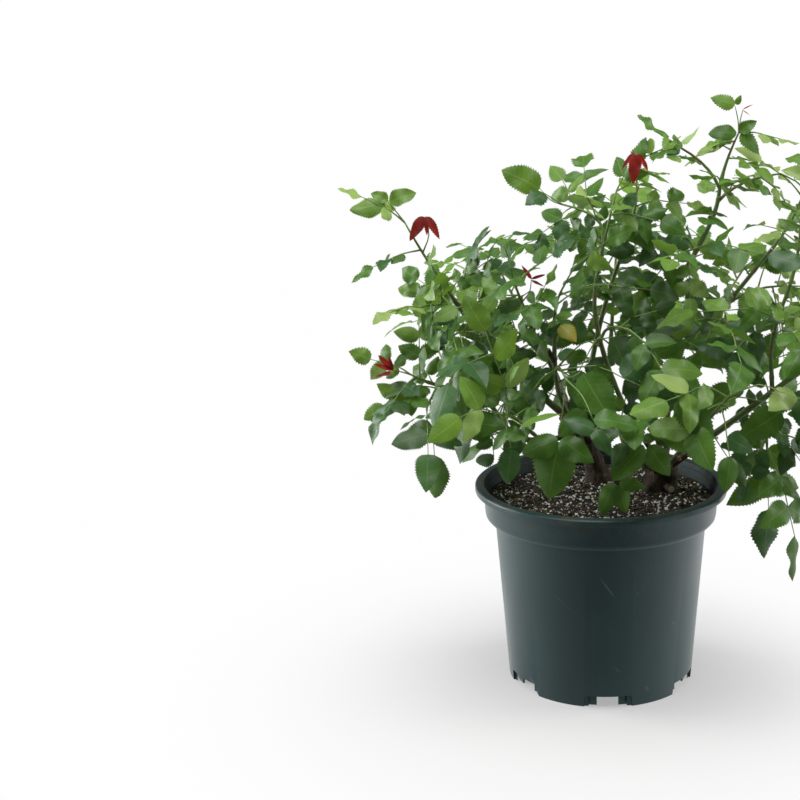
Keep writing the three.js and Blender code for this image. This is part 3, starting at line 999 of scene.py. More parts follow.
@dataclass
class NurseryPot:
    """A round pot with a collar, a turned-down lip, and a foot notched for drainage."""

    height: float = 182.5
    lip_radius: float = 112.5
    lip_drop: float = 6.0
    lip_wall: float = 1.7
    collar_top_radius: float = 105.3
    collar_foot_radius: float = 103.5
    collar_foot: float = 152.0
    body_top_radius: float = 94.8
    foot_radius: float = 83.6
    wall: float = 1.8
    plate: float = 10.5
    boss_radius: float = 25.0
    ring_radius: float = 78.6
    ring_wall: float = 1.9
    steps: int = 144
    notches: int = 6
    first_notch: float = -85.0
    outer_span: float = 29.0
    inner_span: float = 13.0
    finish: PlasticFinish = PlasticFinish("pot_plastic", 0x1A2C2D, 0x223737, 0.3, 0.1)

    def profile(self) -> list[tuple[float, float]]:
        """Radius and height of the shell's corners, from the axis under its base and back.

        Returns:
            Each corner's radius and height.
        """
        top, lip, wall = self.height, self.lip_radius, self.wall
        drop, under = top - self.lip_drop, top - self.lip_wall
        inside = self.collar_top_radius - wall
        return [
            (0.0, 0.0),
            (self.boss_radius, 0.0),
            (self.boss_radius + 1.5, self.plate),
            (self.foot_radius - 2.4, self.plate),
            (self.foot_radius - 2.5, 0.0),
            (self.foot_radius, 0.0),
            (self.body_top_radius - 0.1, self.collar_foot - 1.6),
            (self.collar_foot_radius - 5.2, self.collar_foot - 0.9),
            (self.collar_foot_radius - 1.9, self.collar_foot + 0.2),
            (self.collar_foot_radius - 0.4, self.collar_foot + 2.0),
            (self.collar_foot_radius + 0.1, self.collar_foot + 4.6),
            (self.collar_top_radius, under - 0.6),
            (lip - self.lip_wall, under),
            (lip - self.lip_wall, drop),
            (lip, drop),
            (lip, top - 1.2),
            (lip - 1.4, top),
            (inside + 1.2, top),
            (inside + 0.2, top - 0.8),
            (inside, top - 5.2),
            (inside - 1.1, top - 5.8),
            (self.collar_foot_radius - wall - 0.2, self.collar_foot + wall),
            (self.body_top_radius - wall, self.collar_foot + wall - 1),
            (self.foot_radius - wall, self.plate + 2),
            (0.0, self.plate + 2),
        ]

    def softened(self, bm: Shape, offset: float) -> None:
        """Rounds the sharp edges of a spun shape by an offset in millimetres.

        Args:
            bm: the shape to round.
            offset: the width of the rounding.
        """
        sharp = [e for e in bm.edges if e.is_manifold and e.calc_face_angle(0.0) > math.radians(38)]
        rounding = {"affect": "EDGES", "segments": 2, "profile": 0.5, "material": -1}
        bmesh.ops.bevel(bm, geom=sharp, offset=offset * MM, clamp_overlap=True, **rounding)

    def block(self, angle: float, span: float, inner: float) -> Shape:
        """A block that cuts one notch, with rounded upper corners.

        Args:
            angle: the notch's direction in degrees.
            span: its width in degrees at the foot.
            inner: how near the axis it reaches.

        Returns:
            The block.
        """
        bm = bmesh.new()
        width = 2 * self.foot_radius * math.sin(math.radians(span / 2))
        length = self.lip_radius - inner
        bmesh.ops.create_cube(bm, size=1.0)
        bmesh.ops.scale(bm, vec=(length * MM, width * MM, 2 * self.plate * MM), verts=bm.verts)
        upper = [e for e in bm.edges if all(v.co.z > 0 and abs(v.co.y) > 0 for v in e.verts)]
        rails = [e for e in upper if abs(e.verts[0].co.x - e.verts[1].co.x) > 1e-5]
        rounding = {"affect": "EDGES", "segments": 4, "profile": 0.5, "material": -1}
        bmesh.ops.bevel(bm, geom=rails, offset=2.2 * MM, **rounding)
        bmesh.ops.translate(bm, vec=((inner + length / 2) * MM, 0, 0), verts=bm.verts)
        turn = Matrix.Rotation(math.radians(angle), 3, "Z")
        bmesh.ops.rotate(bm, cent=(0, 0, 0), matrix=turn, verts=bm.verts)
        bmesh.ops.recalc_face_normals(bm, faces=bm.faces)
        return bm

    def notched(self, bm: Shape, span: float, inner: float) -> Mesh:
        """A shape with the notches cut out of its foot.

        Args:
            bm: the shape, which is freed.
            span: the notches' width in degrees.
            inner: how near the axis they reach.

        Returns:
            The cut mesh.
        """
        cutters = bmesh.new()
        for index in range(self.notches):
            angle = self.first_notch + 360 / self.notches * index
            part = kept_mesh(self.block(angle, span, inner), "notch")
            cutters.from_mesh(part)
            bpy.data.meshes.remove(part)
        tool = bpy.data.objects.new("notches", closed_mesh(cutters, "notches"))
        whole = bpy.data.objects.new("uncut", closed_mesh(bm, "uncut"))
        for item in (tool, whole):
            bpy.context.scene.collection.objects.link(item)
        cut = whole.modifiers.new("cut", "BOOLEAN")
        cut.object, cut.operation, cut.solver = tool, "DIFFERENCE", "EXACT"
        bpy.context.view_layer.update()
        evaluated = whole.evaluated_get(bpy.context.evaluated_depsgraph_get())
        mesh = bpy.data.meshes.new_from_object(evaluated)
        for item in (tool, whole):
            bpy.data.objects.remove(item)
        return mesh

    def build(self, bench: Bench) -> None:
        """Builds the shell and the ring inside its foot, as one piece.

        Args:
            bench: where the pieces are laid.
        """
        shell = spun(self.profile(), self.steps)
        self.softened(shell, 0.45)
        inner, outer, top = self.ring_radius - self.ring_wall, self.ring_radius, self.plate + 0.6
        corners = [(inner, 0.0), (outer, 0.0), (outer, top), (inner, top), (inner, 0.0)]
        ring = spun(corners, self.steps)
        self.softened(ring, 0.35)
        whole = bmesh.new()
        whole.from_mesh(self.notched(shell, self.outer_span, self.ring_radius + 0.8))
        whole.from_mesh(self.notched(ring, self.inner_span, self.ring_radius - 6))
        smooth(whole, 30)
        mesh = kept_mesh(whole, "nursery_pot")
        bench.lay("nursery_pot", mesh, self.finish, ["pot"])


# ---- potting mix


@dataclass(frozen=True)
class Bits:
    """One kind of loose bit: how many, how large, how flat, and the finish that names it."""

    count: int
    smallest: float
    largest: float
    flat: float
    finish: GrainFinish


@dataclass
class PottingMix:
    """The crumbly filling, level below the rim, with loose bits on it."""

    level: float = 168.0
    radius: float = 101.2
    foot: float = 154.5
    steps: int = 150
    rings: int = 48
    swell: float = 1.5
    seed: int = 11
    finish: EarthFinish = EarthFinish("potting_mix", 0x18130F, 0x2A231A, 0.96, 2.2)
    kinds: tuple[Bits, ...] = (
        Bits(2300, 0.35, 1.4, 0.8, GrainFinish("perlite", 0xECEAE4, 0xC8C5BD, 0.9, 0.4)),
        Bits(520, 1.2, 3.4, 0.42, GrainFinish("bark_chips", 0x40301E, 0x261C13, 0.85, 0.5)),
        Bits(620, 0.9, 2.4, 0.7, GrainFinish("peat_crumbs", 0x1A1410, 0x30241A, 0.95, 0.5)),
        Bits(70, 1.2, 2.8, 0.2, GrainFinish("straw_bits", 0x9A8454, 0x6E5A38, 0.8, 0.3)),
    )

    def lift(self, x: float, y: float) -> float:
        """How far the surface is above its level at a place, in millimetres.

        Args:
            x: the place across.
            y: the place in depth.

        Returns:
            The height over the level of the mix.
        """
        broad = noise.noise(Vector((x, y, 0.0)) / 26.0) * self.swell
        lumps = noise.noise(Vector((x, y, 40.0)) / 5.5) * 1.1
        crumbs = noise.noise(Vector((x, y, 90.0)) / 2.2) * 0.5
        return broad + lumps + crumbs

    def surface(self) -> Shape:
        """The crumbly top with its skirt and foot.

        Returns:
            The shape, in metres.
        """
        rims = [self.radius * index / self.rings for index in range(self.rings + 1)]
        top = [(rim, self.level) for rim in rims]
        bm = spun([*top, (self.radius - 1.6, self.foot), (0.0, self.foot)], self.steps)
        for vert in bm.verts:
            if vert.co.z > (self.level - 1) * MM:
                vert.co.z += self.lift(vert.co.x / MM, vert.co.y / MM) * MM
        return bm

    def scatter(self, kind: Bits, draws: Draws) -> Shape:
        """One kind of bit, strewn over the surface.

        Args:
            kind: the bits.
            draws: the random numbers that place them.

        Returns:
            All of them in one shape.
        """
        bm = bmesh.new()
        for _ in range(kind.count):
            reach = math.sqrt(draws()) * (self.radius - 3)
            angle = draws() * 2 * math.pi
            x, y = reach * math.cos(angle), reach * math.sin(angle)
            size = kind.smallest + (kind.largest - kind.smallest) * draws() ** 2
            turn = Matrix.Rotation(draws() * 6.28, 4, "Z")
            turn = turn @ Matrix.Rotation(draws.between(-0.5, 0.5), 4, "X")
            wide = size * draws.between(0.7, 1.3)
            shape = Matrix.Diagonal((wide, size, size * kind.flat, 1 / MM))
            height = self.level + self.lift(x, y) + 0.2 * size
            seat = Matrix.Translation(Vector((x, y, height)) * MM)
            whole = seat @ turn @ (shape * MM)
            made = bmesh.ops.create_icosphere(bm, subdivisions=1, radius=1.0, matrix=whole)
            for vert in made["verts"]:
                push = noise.noise(vert.co * 900.0) * 0.45 * size * MM
                vert.co += (vert.co - seat.translation).normalized() * push
        return bm

    def build(self, bench: Bench) -> None:
        """Builds the filling and the bits on it.

        Args:
            bench: where the pieces are laid.
        """
        mesh = closed_mesh(self.surface(), "potting_mix", 180)
        bench.lay("potting_mix", mesh, self.finish, ["soil"])
        draws = Draws(self.seed)
        for kind in self.kinds:
            name = kind.finish.name
            bits = closed_mesh(self.scatter(kind, draws), name, 60)
            bench.lay(name, bits, kind.finish)


# ---- limbs


@dataclass(frozen=True)
class Limb:
    """A trunk or cane: its parent, where it leaves it, its radii, its flare and its places."""

    name: str
    parent: str | None
    at: float
    foot: float
    tip: float
    flare: float
    via: tuple[tuple[float, float, float], ...]

    def radius(self, share: float) -> float:
        """The limb's radius at a share of its length."""
        taper = self.foot + (self.tip - self.foot) * share
        return taper + self.flare * math.exp(-7 * max(share - 0.2, 0))


LIMB_ROWS = (
    ("left_trunk", None, 0, 8.6, 6, 6, ((4, 50, 150), (-9, 46, 196), (-31, 40, 232))),
    ("right_trunk", None, 0, 15, 12, 7, ((52, 26, 150), (55, 25, 176), (57, 24, 194))),
    ("low_left_cane", "left_trunk", 0.72, 3.4, 2.1, 0,
     ((-73, 25, 216), (-103, 2, 257), (-150, -20, 279))),
    ("upper_left_cane", "left_trunk", 1, 4.2, 2.4, 0,
     ((-74, 35, 273), (-114, 20, 323), (-134, 8, 356))),
    ("middle_left_cane", "left_trunk", 0.9, 3.2, 2, 0,
     ((-41, 12, 281), (-56, -16, 320), (-64, -30, 345))),
    ("centre_cane", "left_trunk", 0.6, 3.4, 2.4, 0,
     ((-26, 4, 236), (-38, -16, 280), (-39, -32, 330))),
    ("tall_centre_cane", "right_trunk", 0.85, 3.4, 2, 0,
     ((18, -6, 262), (-4, -20, 340), (3, -12, 405))),
    ("rear_centre_cane", "left_trunk", 0.75, 3.6, 2, 0,
     ((-3, 62, 300), (11, 56, 354), (25, 50, 395))),
    ("tall_right_cane", "right_trunk", 1, 4.4, 2, 0,
     ((46, 31, 268), (62, 33, 338), (98, 39, 412), (106, 40, 448))),
    ("right_cane", "right_trunk", 0.9, 3.8, 2.1, 0,
     ((70, 42, 286), (106, 47, 326), (152, 50, 384))),
    ("far_right_cane", "right_trunk", 0.7, 4.4, 2.6, 0,
     ((98, -10, 228), (148, -28, 273), (214, -30, 326))),
    ("right_side_cane", "far_right_cane", 0.66, 2.6, 1.8, 0,
     ((146, -26, 318), (160, -22, 365))),
    ("rear_left_cane", "left_trunk", 0.8, 3.6, 2, 0, ((-42, 92, 262), (-76, 128, 316))),
    ("rear_cane", "left_trunk", 0.5, 3.4, 2, 0, ((8, 104, 262), (14, 146, 338))),
    ("rear_right_cane", "right_trunk", 0.75, 3.6, 2, 0, ((82, 88, 258), (112, 126, 312))),
    ("front_left_cane", "left_trunk", 0.45, 3, 1.9, 0, ((-42, -26, 222), (-70, -82, 262))),
    ("front_cane", "right_trunk", 0.6, 3, 1.9, 0, ((26, -38, 222), (14, -80, 256))),
    ("front_right_cane", "right_trunk", 0.65, 3.2, 2, 0, ((74, -44, 230), (96, -88, 272))),
)
LIMBS = tuple(Limb(*row) for row in LIMB_ROWS)


@dataclass(frozen=True)
class Stub:
    """The stump of a pruned cane: its limb, its place on it, its lean, its length and radius."""

    limb: str
    share: float
    lean: tuple[float, float, float]
    length: float
    radius: float


@dataclass
class Wood:
    """The two trunks and the canes that fork from them, with their bark, nodes and prickles."""

    trunk_sides: int = 30
    trunk_rings: int = 40
    cane_sides: int = 10
    cane_step: float = 3.4
    slimness: float = 0.8
    node_step: float = 27.0
    prickles_each: int = 9
    seed: int = 23
    limbs: tuple[Limb, ...] = LIMBS
    stubs: tuple[Stub, ...] = (
        Stub("right_trunk", 0.46, (0.36, -0.9, -0.04), 25.0, 3.3),
        Stub("right_trunk", 0.86, (0.75, -0.6, 0.5), 19.0, 4.6),
        Stub("right_trunk", 1.0, (-0.3, -0.3, 1.0), 13.0, 5.2),
        Stub("left_trunk", 0.62, (0.6, -0.6, 0.6), 15.0, 4.2),
        Stub("left_trunk", 1.0, (0.35, -0.2, 1.0), 15.0, 3.9),
        Stub("centre_cane", 0.8, (-0.5, -0.4, 0.8), 12.0, 2.2),
    )
    # Dark old bark, made darker still as painted shade for the trunks and stubs under the crown.
    bark: BarkFinish = BarkFinish("old_bark", 0x2E241A, 0x423425, 0.88, 1.6)
    cane: CaneFinish = CaneFinish("cane_skin", 0x4A632B, 0x5C723A, 0.66, 0.35)
    prickle: GrainFinish = GrainFinish("prickle", 0x7A4630, 0x9A6A48, 0.5, 0.1)
    cut: GrainFinish = GrainFinish("cut_wood", 0xB2AE92, 0x8C8464, 0.8, 0.3)

    def __post_init__(self) -> None:
        """Lays the line of each limb, from its parent's where it has one."""
        self.lines: dict[str, SmoothLine] = {}
        for limb in self.limbs:
            places = [np.array(place, float) for place in limb.via]
            if limb.parent:
                places.insert(0, self.lines[limb.parent].point(limb.at))
            self.lines[limb.name] = SmoothLine(places)

    def trunk(self, limb: Limb) -> Shape:
        """A trunk with ridged bark, burls and a rounded head.

        Args:
            limb: the trunk.

        Returns:
            The shape, in metres.
        """
        line = self.lines[limb.name]
        shares = [index / self.trunk_rings for index in range(self.trunk_rings)]
        seats = [line.seat(share, limb.radius(share)) for share in shares]
        head = limb.radius(1.0)
        for step in range(1, 7):
            bend = step / 6.5 * math.pi / 2
            seat = line.seat(1.0, head * math.cos(bend))
            up = Vector(line.tangent(1.0)) * head * 0.7 * math.sin(bend) * MM
            seats.append(Matrix.Translation(up) @ seat)
        bm = bmesh.new()
        swept(bm, seats, self.trunk_sides)
        bmesh.ops.recalc_face_normals(bm, faces=bm.faces)
        bm.normal_update()
        for vert in bm.verts:
            place = vert.co / MM
            ridge = noise.fractal(Vector((place.x, place.y, place.z * 0.3)) / 4.5, 0.6, 2.0, 4)
            burl = max(noise.noise(place / 15.0), -0.1)
            vert.co += vert.normal * (ridge * 1.1 + burl * limb.radius(0.6) * 0.42) * MM
        return bm

    def cane_seats(self, limb: Limb) -> tuple[list[Matrix], list[float], list[float]]:
        """The rings of a cane.

        Args:
            limb: the cane.

        Returns:
            The seat of each ring, how far grown it is, and how near a node it is.
        """
        line = self.lines[limb.name]
        length = sum(
            float(np.linalg.norm(line.point((i + 1) / 20) - line.point(i / 20))) for i in range(20)
        )
        count = max(int(length / self.cane_step), 12)
        seats, grown, nodes = [], [], []
        for index in range(count + 1):
            share = index / count
            off = (share * length) % self.node_step - self.node_step / 2
            near = math.exp(-((off / 1.9) ** 2)) if share > 0.12 else 0.0
            radius = limb.radius(share) * self.slimness * (1 + 0.16 * near)
            seats.append(line.seat(share, radius))
            height = (line.point(share)[2] - 200) / 260
            grown.append(held(0.55 * share + 0.55 * height + 0.05))
            nodes.append(near)
        return seats, grown, nodes

    def canes(self) -> Shape:
        """All canes, each with how far grown and how near a node it is along its length.

        Returns:
            The shape of all canes, in metres.
        """
        bm = bmesh.new()
        grown = bm.verts.layers.float.new("grown")
        node = bm.verts.layers.float.new("node")
        for limb in self.limbs:
            if not limb.parent:
                continue
            seats, shares, nears = self.cane_seats(limb)
            for ring, share, near in zip(swept(bm, seats, self.cane_sides), shares, nears):
                for vert in ring:
                    vert[grown], vert[node] = share, near
        return bm

    def stub(self, bm: Shape, faces: Shape, stub: Stub) -> None:
        """A pruned stump, with its pale cut face in a shape of its own.

        Args:
            bm: the shape that takes the wood.
            faces: the shape that takes the cut face.
            stub: the stump.
        """
        foot = self.lines[stub.limb].point(stub.share)
        lean = unit(np.array(stub.lean))
        line = BentLine(foot, foot + lean * stub.length * 0.5, foot + lean * stub.length + UP * 1.5)
        flare = [1.5, 1.25, 1.08, 1.0, 0.98, 1.0, 1.03, 0.97]
        seats = [line.seat(i / 7, stub.radius * wide) for i, wide in enumerate(flare)]
        swept(bm, seats, 14)
        up = Vector(line.tangent(1.0)) * MM
        rims = [(0.9, -0.6), (0.9, 0.15), (0.55, 0.4), (0.12, 0.25)]
        cap = [
            Matrix.Translation(up * rise) @ line.seat(1.0, stub.radius * wide)
            for wide, rise in rims
        ]
        swept(faces, cap, 14)

    def prickles(self) -> Shape:
        """Short broad-based prickles, strewn round the canes and bent towards their feet.

        Returns:
            The shape of all prickles, in metres.
        """
        bm = bmesh.new()
        draws = Draws(self.seed)
        for limb in self.limbs:
            if not limb.parent:
                continue
            line = self.lines[limb.name]
            for _ in range(self.prickles_each):
                share = draws.between(0.1, 0.95)
                forward, across, other = line.cross_axes(share)
                angle = draws() * 2 * math.pi
                out = across * math.cos(angle) + other * math.sin(angle)
                point = unit(out - forward * draws.between(0.15, 0.5))
                size = draws.between(2.2, 4.0)
                foot = line.point(share) + out * (limb.radius(share) - 0.25)
                turn = Vector(point).to_track_quat("Z", "Y").to_matrix().to_4x4()
                seat = Matrix.Translation(Vector(foot + point * size / 2) * MM) @ turn
                cone = {"segments": 6, "radius1": size * 0.3 * MM, "radius2": 0.05 * MM}
                bmesh.ops.create_cone(bm, cap_ends=True, depth=size * MM, matrix=seat, **cone)
        return bm

    def build(self, bench: Bench) -> None:
        """Builds the trunks, the canes, the stubs and the prickles.

        Args:
            bench: where the pieces are laid.
        """
        for limb in self.limbs:
            if not limb.parent:
                mesh = closed_mesh(self.trunk(limb), limb.name, 180)
                bench.lay(f"{limb.name}_bark", mesh, self.bark, [limb.name])
        canes = [limb.name for limb in self.limbs if limb.parent]
        bench.lay("canes", closed_mesh(self.canes(), "canes", 60), self.cane, canes)
        stubs, cuts = bmesh.new(), bmesh.new()
        for stub in self.stubs:
            self.stub(stubs, cuts, stub)
        bench.lay("pruned_stubs", closed_mesh(stubs, "pruned_stubs", 60), self.bark)
        bench.lay("pruned_faces", closed_mesh(cuts, "pruned_faces", 60), self.cut)
        bench.lay("prickles", closed_mesh(self.prickles(), "prickles", 60), self.prickle)


# ---- growth


@dataclass(frozen=True)
class Growth:
    """The sizes of the growing rule, shared by all the shoots."""

    gap: float = 0.3
    leaf_gap: float = 0.6
    width: float = 0.62
    thickness: float = 0.026
    widest: float = 0.44
    fold: float = 0.09
    sink: float = 0.2
    setback: float = 1.6
    petiole: float = 0.62
    interval: float = 0.6
    splay: float = 62.0
    twig: float = 0.95
    stem_foot: float = 1.9
    stem_tip: float = 1.1
    phyllotaxis: float = 144.0
    tries: int = 8
    limb_rings: int = 6
    limb_sides: int = 5


RULE = Growth()
CROWN_AXIS = np.array([10.0, 20.0, 0.0])
SKY = np.array([0.0, -0.45, 0.75])
FRONT = np.array([0.0, -1320.0, 590.0])


@dataclass(frozen=True)
class Tending:
    """How the grown crown is bent over, made finer, filled in, cleared and tinged."""

    tall: float = 482.0
    bow: float = 0.95
    large: float = 21.0
    large_span: float = 12.0
    fine_foot: float = 275.0
    fine_span: float = 60.0
    finer: float = 0.3
    filled_top: float = 446.0
    sparse_left: float = -120.0
    mix_half: float = 100.0
    mix_front: float = 10.0
    mix_top: float = 240.0
    crown_foot: float = 220.0
    crown_height: float = 280.0
    crown_reach: float = 230.0
    tint_seed: int = 71
    lip_from: int = 195
    lip_to: int = 350
    gap: float = 8.0
    bare: tuple[tuple[str, float, float], ...] = (
        ("far_right_cane", 0.35, 0.8),
        ("tall_centre_cane", 0.35, 0.8),
        ("centre_cane", 0.45, 0.95),
    )


CARE = Tending()


@dataclass(frozen=True)
class ShootPlan:
    """A mass of foliage: its limb, its place on it, its tip, and how its leaves grow."""

    name: str
    limb: str
    at: float
    tip: tuple[float, float, float]
    leaves: int
    leaflet: float
    droop: float
    seed: int

    def line(self, limb: Line) -> BentLine:
        """The shoot's line, which leaves its limb and bends to the tip.

        Args:
            limb: the cane that carries the shoot.

        Returns:
            The shoot's line.
        """
        foot, tip = limb.point(self.at), np.array(self.tip, float)
        lead = limb.tangent(self.at)
        if self.at == 1:
            foot = foot + lead * (RULE.gap + 0.05)
        else:
            lead = unit(lead + unit(tip - foot))
        return BentLine(foot, foot + lead * float(np.linalg.norm(foot - tip)) * 0.45, tip)


SHOOT_ROWS = (
    ("low_left_tip", "low_left_cane", 1, (-166, -26, 288), 3, 27, 0.2, 4),
    ("low_left_hanging", "low_left_cane", 0.9, (-150, -46, 262), 3, 40, 0.45, 28),
    ("low_left_inner", "low_left_cane", 0.55, (-94, -46, 238), 3, 36, 0.4, 61),
    ("low_left_rear", "low_left_cane", 0.75, (-148, 32, 300), 3, 34, 0.25, 31),
    ("upper_left_tip", "upper_left_cane", 1, (-170, -4, 420), 3, 25, 0.15, 33),
    ("upper_left_side", "upper_left_cane", 0.8, (-158, -16, 346), 3, 27, 0.15, 82),
    ("upper_left_rear", "upper_left_cane", 0.75, (-116, 44, 384), 3, 30, 0.15, 4),
    ("upper_left_front", "upper_left_cane", 0.55, (-126, -42, 326), 3, 36, 0.25, 24),
    ("middle_left_tip", "middle_left_cane", 1, (-74, -40, 376), 3, 30, 0.2, 76),
    ("middle_left_front", "middle_left_cane", 0.62, (-88, -74, 318), 3, 40, 0.3, 18),
    ("centre_tip", "centre_cane", 1, (-30, -62, 372), 3, 37, 0.25, 2),
    ("centre_front", "centre_cane", 0.7, (-28, -96, 300), 3, 43, 0.35, 72),
    ("tall_centre_left", "tall_centre_cane", 1, (-32, -10, 434), 3, 34, 0.1, 24),
    ("tall_centre_right", "tall_centre_cane", 0.8, (14, -20, 446), 3, 26, 0.2, 36),
    ("tall_centre_front", "tall_centre_cane", 0.55, (24, -80, 338), 3, 42, 0.3, 31),
    ("rear_centre_tip", "rear_centre_cane", 1, (32, 48, 464), 4, 25, 0.25, 28),
    ("rear_centre_side", "rear_centre_cane", 0.7, (-30, 86, 392), 3, 40, 0.25, 45),
    ("tall_right_tip", "tall_right_cane", 1, (120, 40, 488), 4, 21, 0.2, 2),
    ("tall_right_arching", "tall_right_cane", 0.93, (58, 42, 482), 4, 22, 0.15, 37),
    ("tall_right_side", "tall_right_cane", 0.84, (156, 37, 452), 3, 27, 0.2, 65),
    ("tall_right_front", "tall_right_cane", 0.6, (66, -32, 392), 3, 40, 0.25, 2),
    ("right_tip", "right_cane", 1, (186, 47, 462), 3, 31, 0.2, 72),
    ("right_rear", "right_cane", 0.72, (172, 96, 342), 3, 40, 0.3, 46),
    ("right_front", "right_cane", 0.55, (104, -48, 332), 3, 42, 0.3, 55),
    ("far_right_tip", "far_right_cane", 1, (238, -26, 376), 3, 36, 0.2, 70),
    ("far_right_hanging", "far_right_cane", 0.55, (140, -64, 232), 3, 45, 0.5, 28),
    ("far_right_front", "far_right_cane", 0.85, (184, -82, 282), 3, 41, 0.35, 28),
    ("far_right_rear", "far_right_cane", 0.75, (208, 34, 286), 3, 40, 0.3, 50),
    ("right_side_tip", "right_side_cane", 1, (167, -20, 434), 3, 32, 0.2, 78),
    ("right_side_front", "right_side_cane", 0.6, (148, -78, 336), 3, 41, 0.3, 88),
    ("rear_left_tip", "rear_left_cane", 1, (-98, 142, 356), 3, 38, 0.3, 30),
    ("rear_left_side", "rear_left_cane", 0.65, (-114, 104, 316), 3, 40, 0.35, 42),
    ("rear_tip", "rear_cane", 1, (18, 164, 390), 3, 40, 0.25, 2),
    ("rear_side", "rear_cane", 0.6, (56, 160, 300), 3, 42, 0.35, 96),
    ("rear_right_tip", "rear_right_cane", 1, (138, 148, 352), 3, 40, 0.35, 59),
    ("front_left_tip", "front_left_cane", 1, (-82, -104, 272), 3, 41, 0.35, 83),
    ("front_tip", "front_cane", 1, (4, -106, 266), 3, 41, 0.4, 23),
    ("front_right_tip", "front_right_cane", 1, (106, -110, 290), 3, 42, 0.35, 68),
)
SHOOTS = tuple(ShootPlan(*row) for row in SHOOT_ROWS)


class Block:
    """A convex set of corners, with the axes that can hold it apart from another."""

    def __init__(
        self, corners: np.ndarray, axes: Sequence[np.ndarray], forward: np.ndarray
    ) -> None:
        """Takes the corners, the axes and the block's own direction.

        Args:
            corners: the corners of its near and far ends.
            axes: the directions to test.
            forward: the direction it grows in.
        """
        self.corners, self.axes, self.forward = corners, np.array(axes), forward
        self.centre = corners.mean(axis=0)
        self.reach = float(np.sqrt(((corners - self.centre) ** 2).sum(axis=1).max()))

    @classmethod
    def stretch(cls, near: np.ndarray, far: np.ndarray) -> Block:
        """The block of a tube's stretch between two rings.

        Args:
            near: the corners of the near ring.
            far: the corners of the far ring.

        Returns:
            The block.
        """
        forward = unit(far[0] - near[0])
        count = len(near)
        sides = [unit(cross(near[(i + 1) % count] - near[i], forward)) for i in range(count)]
        return cls(np.vstack([near, far]), [forward, *sides], forward)

    @classmethod
    def chain(cls, rings: Sequence[np.ndarray]) -> list[Block]:
        """The blocks of a tube, one between each two rings."""
        return [cls.stretch(near, far) for near, far in zip(rings, rings[1:])]

    def apart(self, other: Block) -> bool:
        """Whether some plane holds this block clear of another.

        Args:
            other: the other block.

        Returns:
            True where a gap lies between them.
        """
        axes = [unit(other.centre - self.centre), *self.axes, *other.axes]
        crossed = cross(self.forward, other.forward)
        if math.sqrt(float(crossed @ crossed)) > 0.05:
            axes.append(unit(crossed))
        across = np.array(axes)
        mine, theirs = across @ self.corners.T, across @ other.corners.T
        above = mine.min(axis=1) - theirs.max(axis=1)
        below = theirs.min(axis=1) - mine.max(axis=1)
        return bool((np.maximum(above, below) > RULE.leaf_gap).any())


class Room:
    """The blocks that stand so far, and the space between them."""

    def __init__(self) -> None:
        """Starts empty."""
        self.blocks: list[Block] = []
        self.centres = np.zeros((8192, 3))
        self.reaches = np.zeros(8192)

    def take(self, blocks: Sequence[Block]) -> range:
        """Adds blocks, and says which numbers they have.

        Args:
            blocks: the blocks to add.

        Returns:
            Their numbers in the room.
        """
        first = len(self.blocks)
        for block in blocks:
            self.centres[len(self.blocks)] = block.centre
            self.reaches[len(self.blocks)] = block.reach
            self.blocks.append(block)
        return range(first, len(self.blocks))

    def free(self, block: Block, ignored: Sequence[int] = ()) -> bool:
        """Whether a block stays clear of all others but the ignored ones.

        Args:
            block: the block to test.
            ignored: the numbers of the blocks it may touch.

        Returns:
            True where it meets no other block.
        """
        count = len(self.blocks)
        far = self.centres[:count] - block.centre
        limits = self.reaches[:count] + block.reach + RULE.leaf_gap
        near = np.nonzero((far * far).sum(axis=1) <= limits * limits)[0]
        return all(i in ignored or block.apart(self.blocks[i]) for i in near)


@dataclass
class Leaflet:
    """A leaflet's root, its direction, the side that faces the light, its length and its play."""

    root: np.ndarray
    forward: np.ndarray
    normal: np.ndarray
    length: float
    play: float = 1.0

    def block(self) -> Block:
        """The folded lozenge that the leaflet fills.

        Returns:
            The block.
        """
        left = cross(self.normal, self.forward)
        wide, half = RULE.widest * self.length, RULE.width * self.length / 2
        lift, thick = RULE.fold * RULE.width * self.length, RULE.thickness * self.length / 2
        steps = [
            (-RULE.sink, 0, 0),
            (wide, half, lift),
            (self.length, 0, 0),
            (wide, -half, lift),
            (wide, 0, thick),
            (wide, 0, -thick),
        ]
        axes = np.array([self.forward, left, self.normal])
        corners = self.root + np.array(steps) @ axes
        edges = [unit(cross(self.normal, corners[(i + 1) % 4] - corners[i])) for i in range(4)]
        return Block(corners, [self.normal, *edges], self.forward)

    def over_mix(self) -> bool:
        """Whether the leaflet hangs low over the front of the potting mix."""
        x, y, z = self.root + self.forward * self.length
        return z < CARE.mix_top and y < CARE.mix_front and abs(x) < CARE.mix_half

    def before(self, places: np.ndarray) -> bool:
        """Whether the leaflet stands in front of any of some places.

        Args:
            places: a row for each place.

        Returns:
            Whether its foot, middle or tip does.
        """
        ahead = places - FRONT
        ahead /= np.linalg.norm(ahead, axis=1, keepdims=True)
        for share in (0.15, 0.5, 0.85):
            away = places - self.root - self.forward * self.length * share
            depth = np.sum(away * ahead, axis=1)
            aside = np.linalg.norm(away - ahead * depth[:, None], axis=1)
            if np.any((depth > 5) & (aside < CARE.gap)):
                return True
        return False


@dataclass
class Leaf:
    """A compound leaf: the places along its stalk, its leaflets, and its tint."""

    stalk: list[np.ndarray]
    leaflets: list[Leaflet]
    twigs: list[Block]
    mass: str = ""
    tint: Tint | None = None


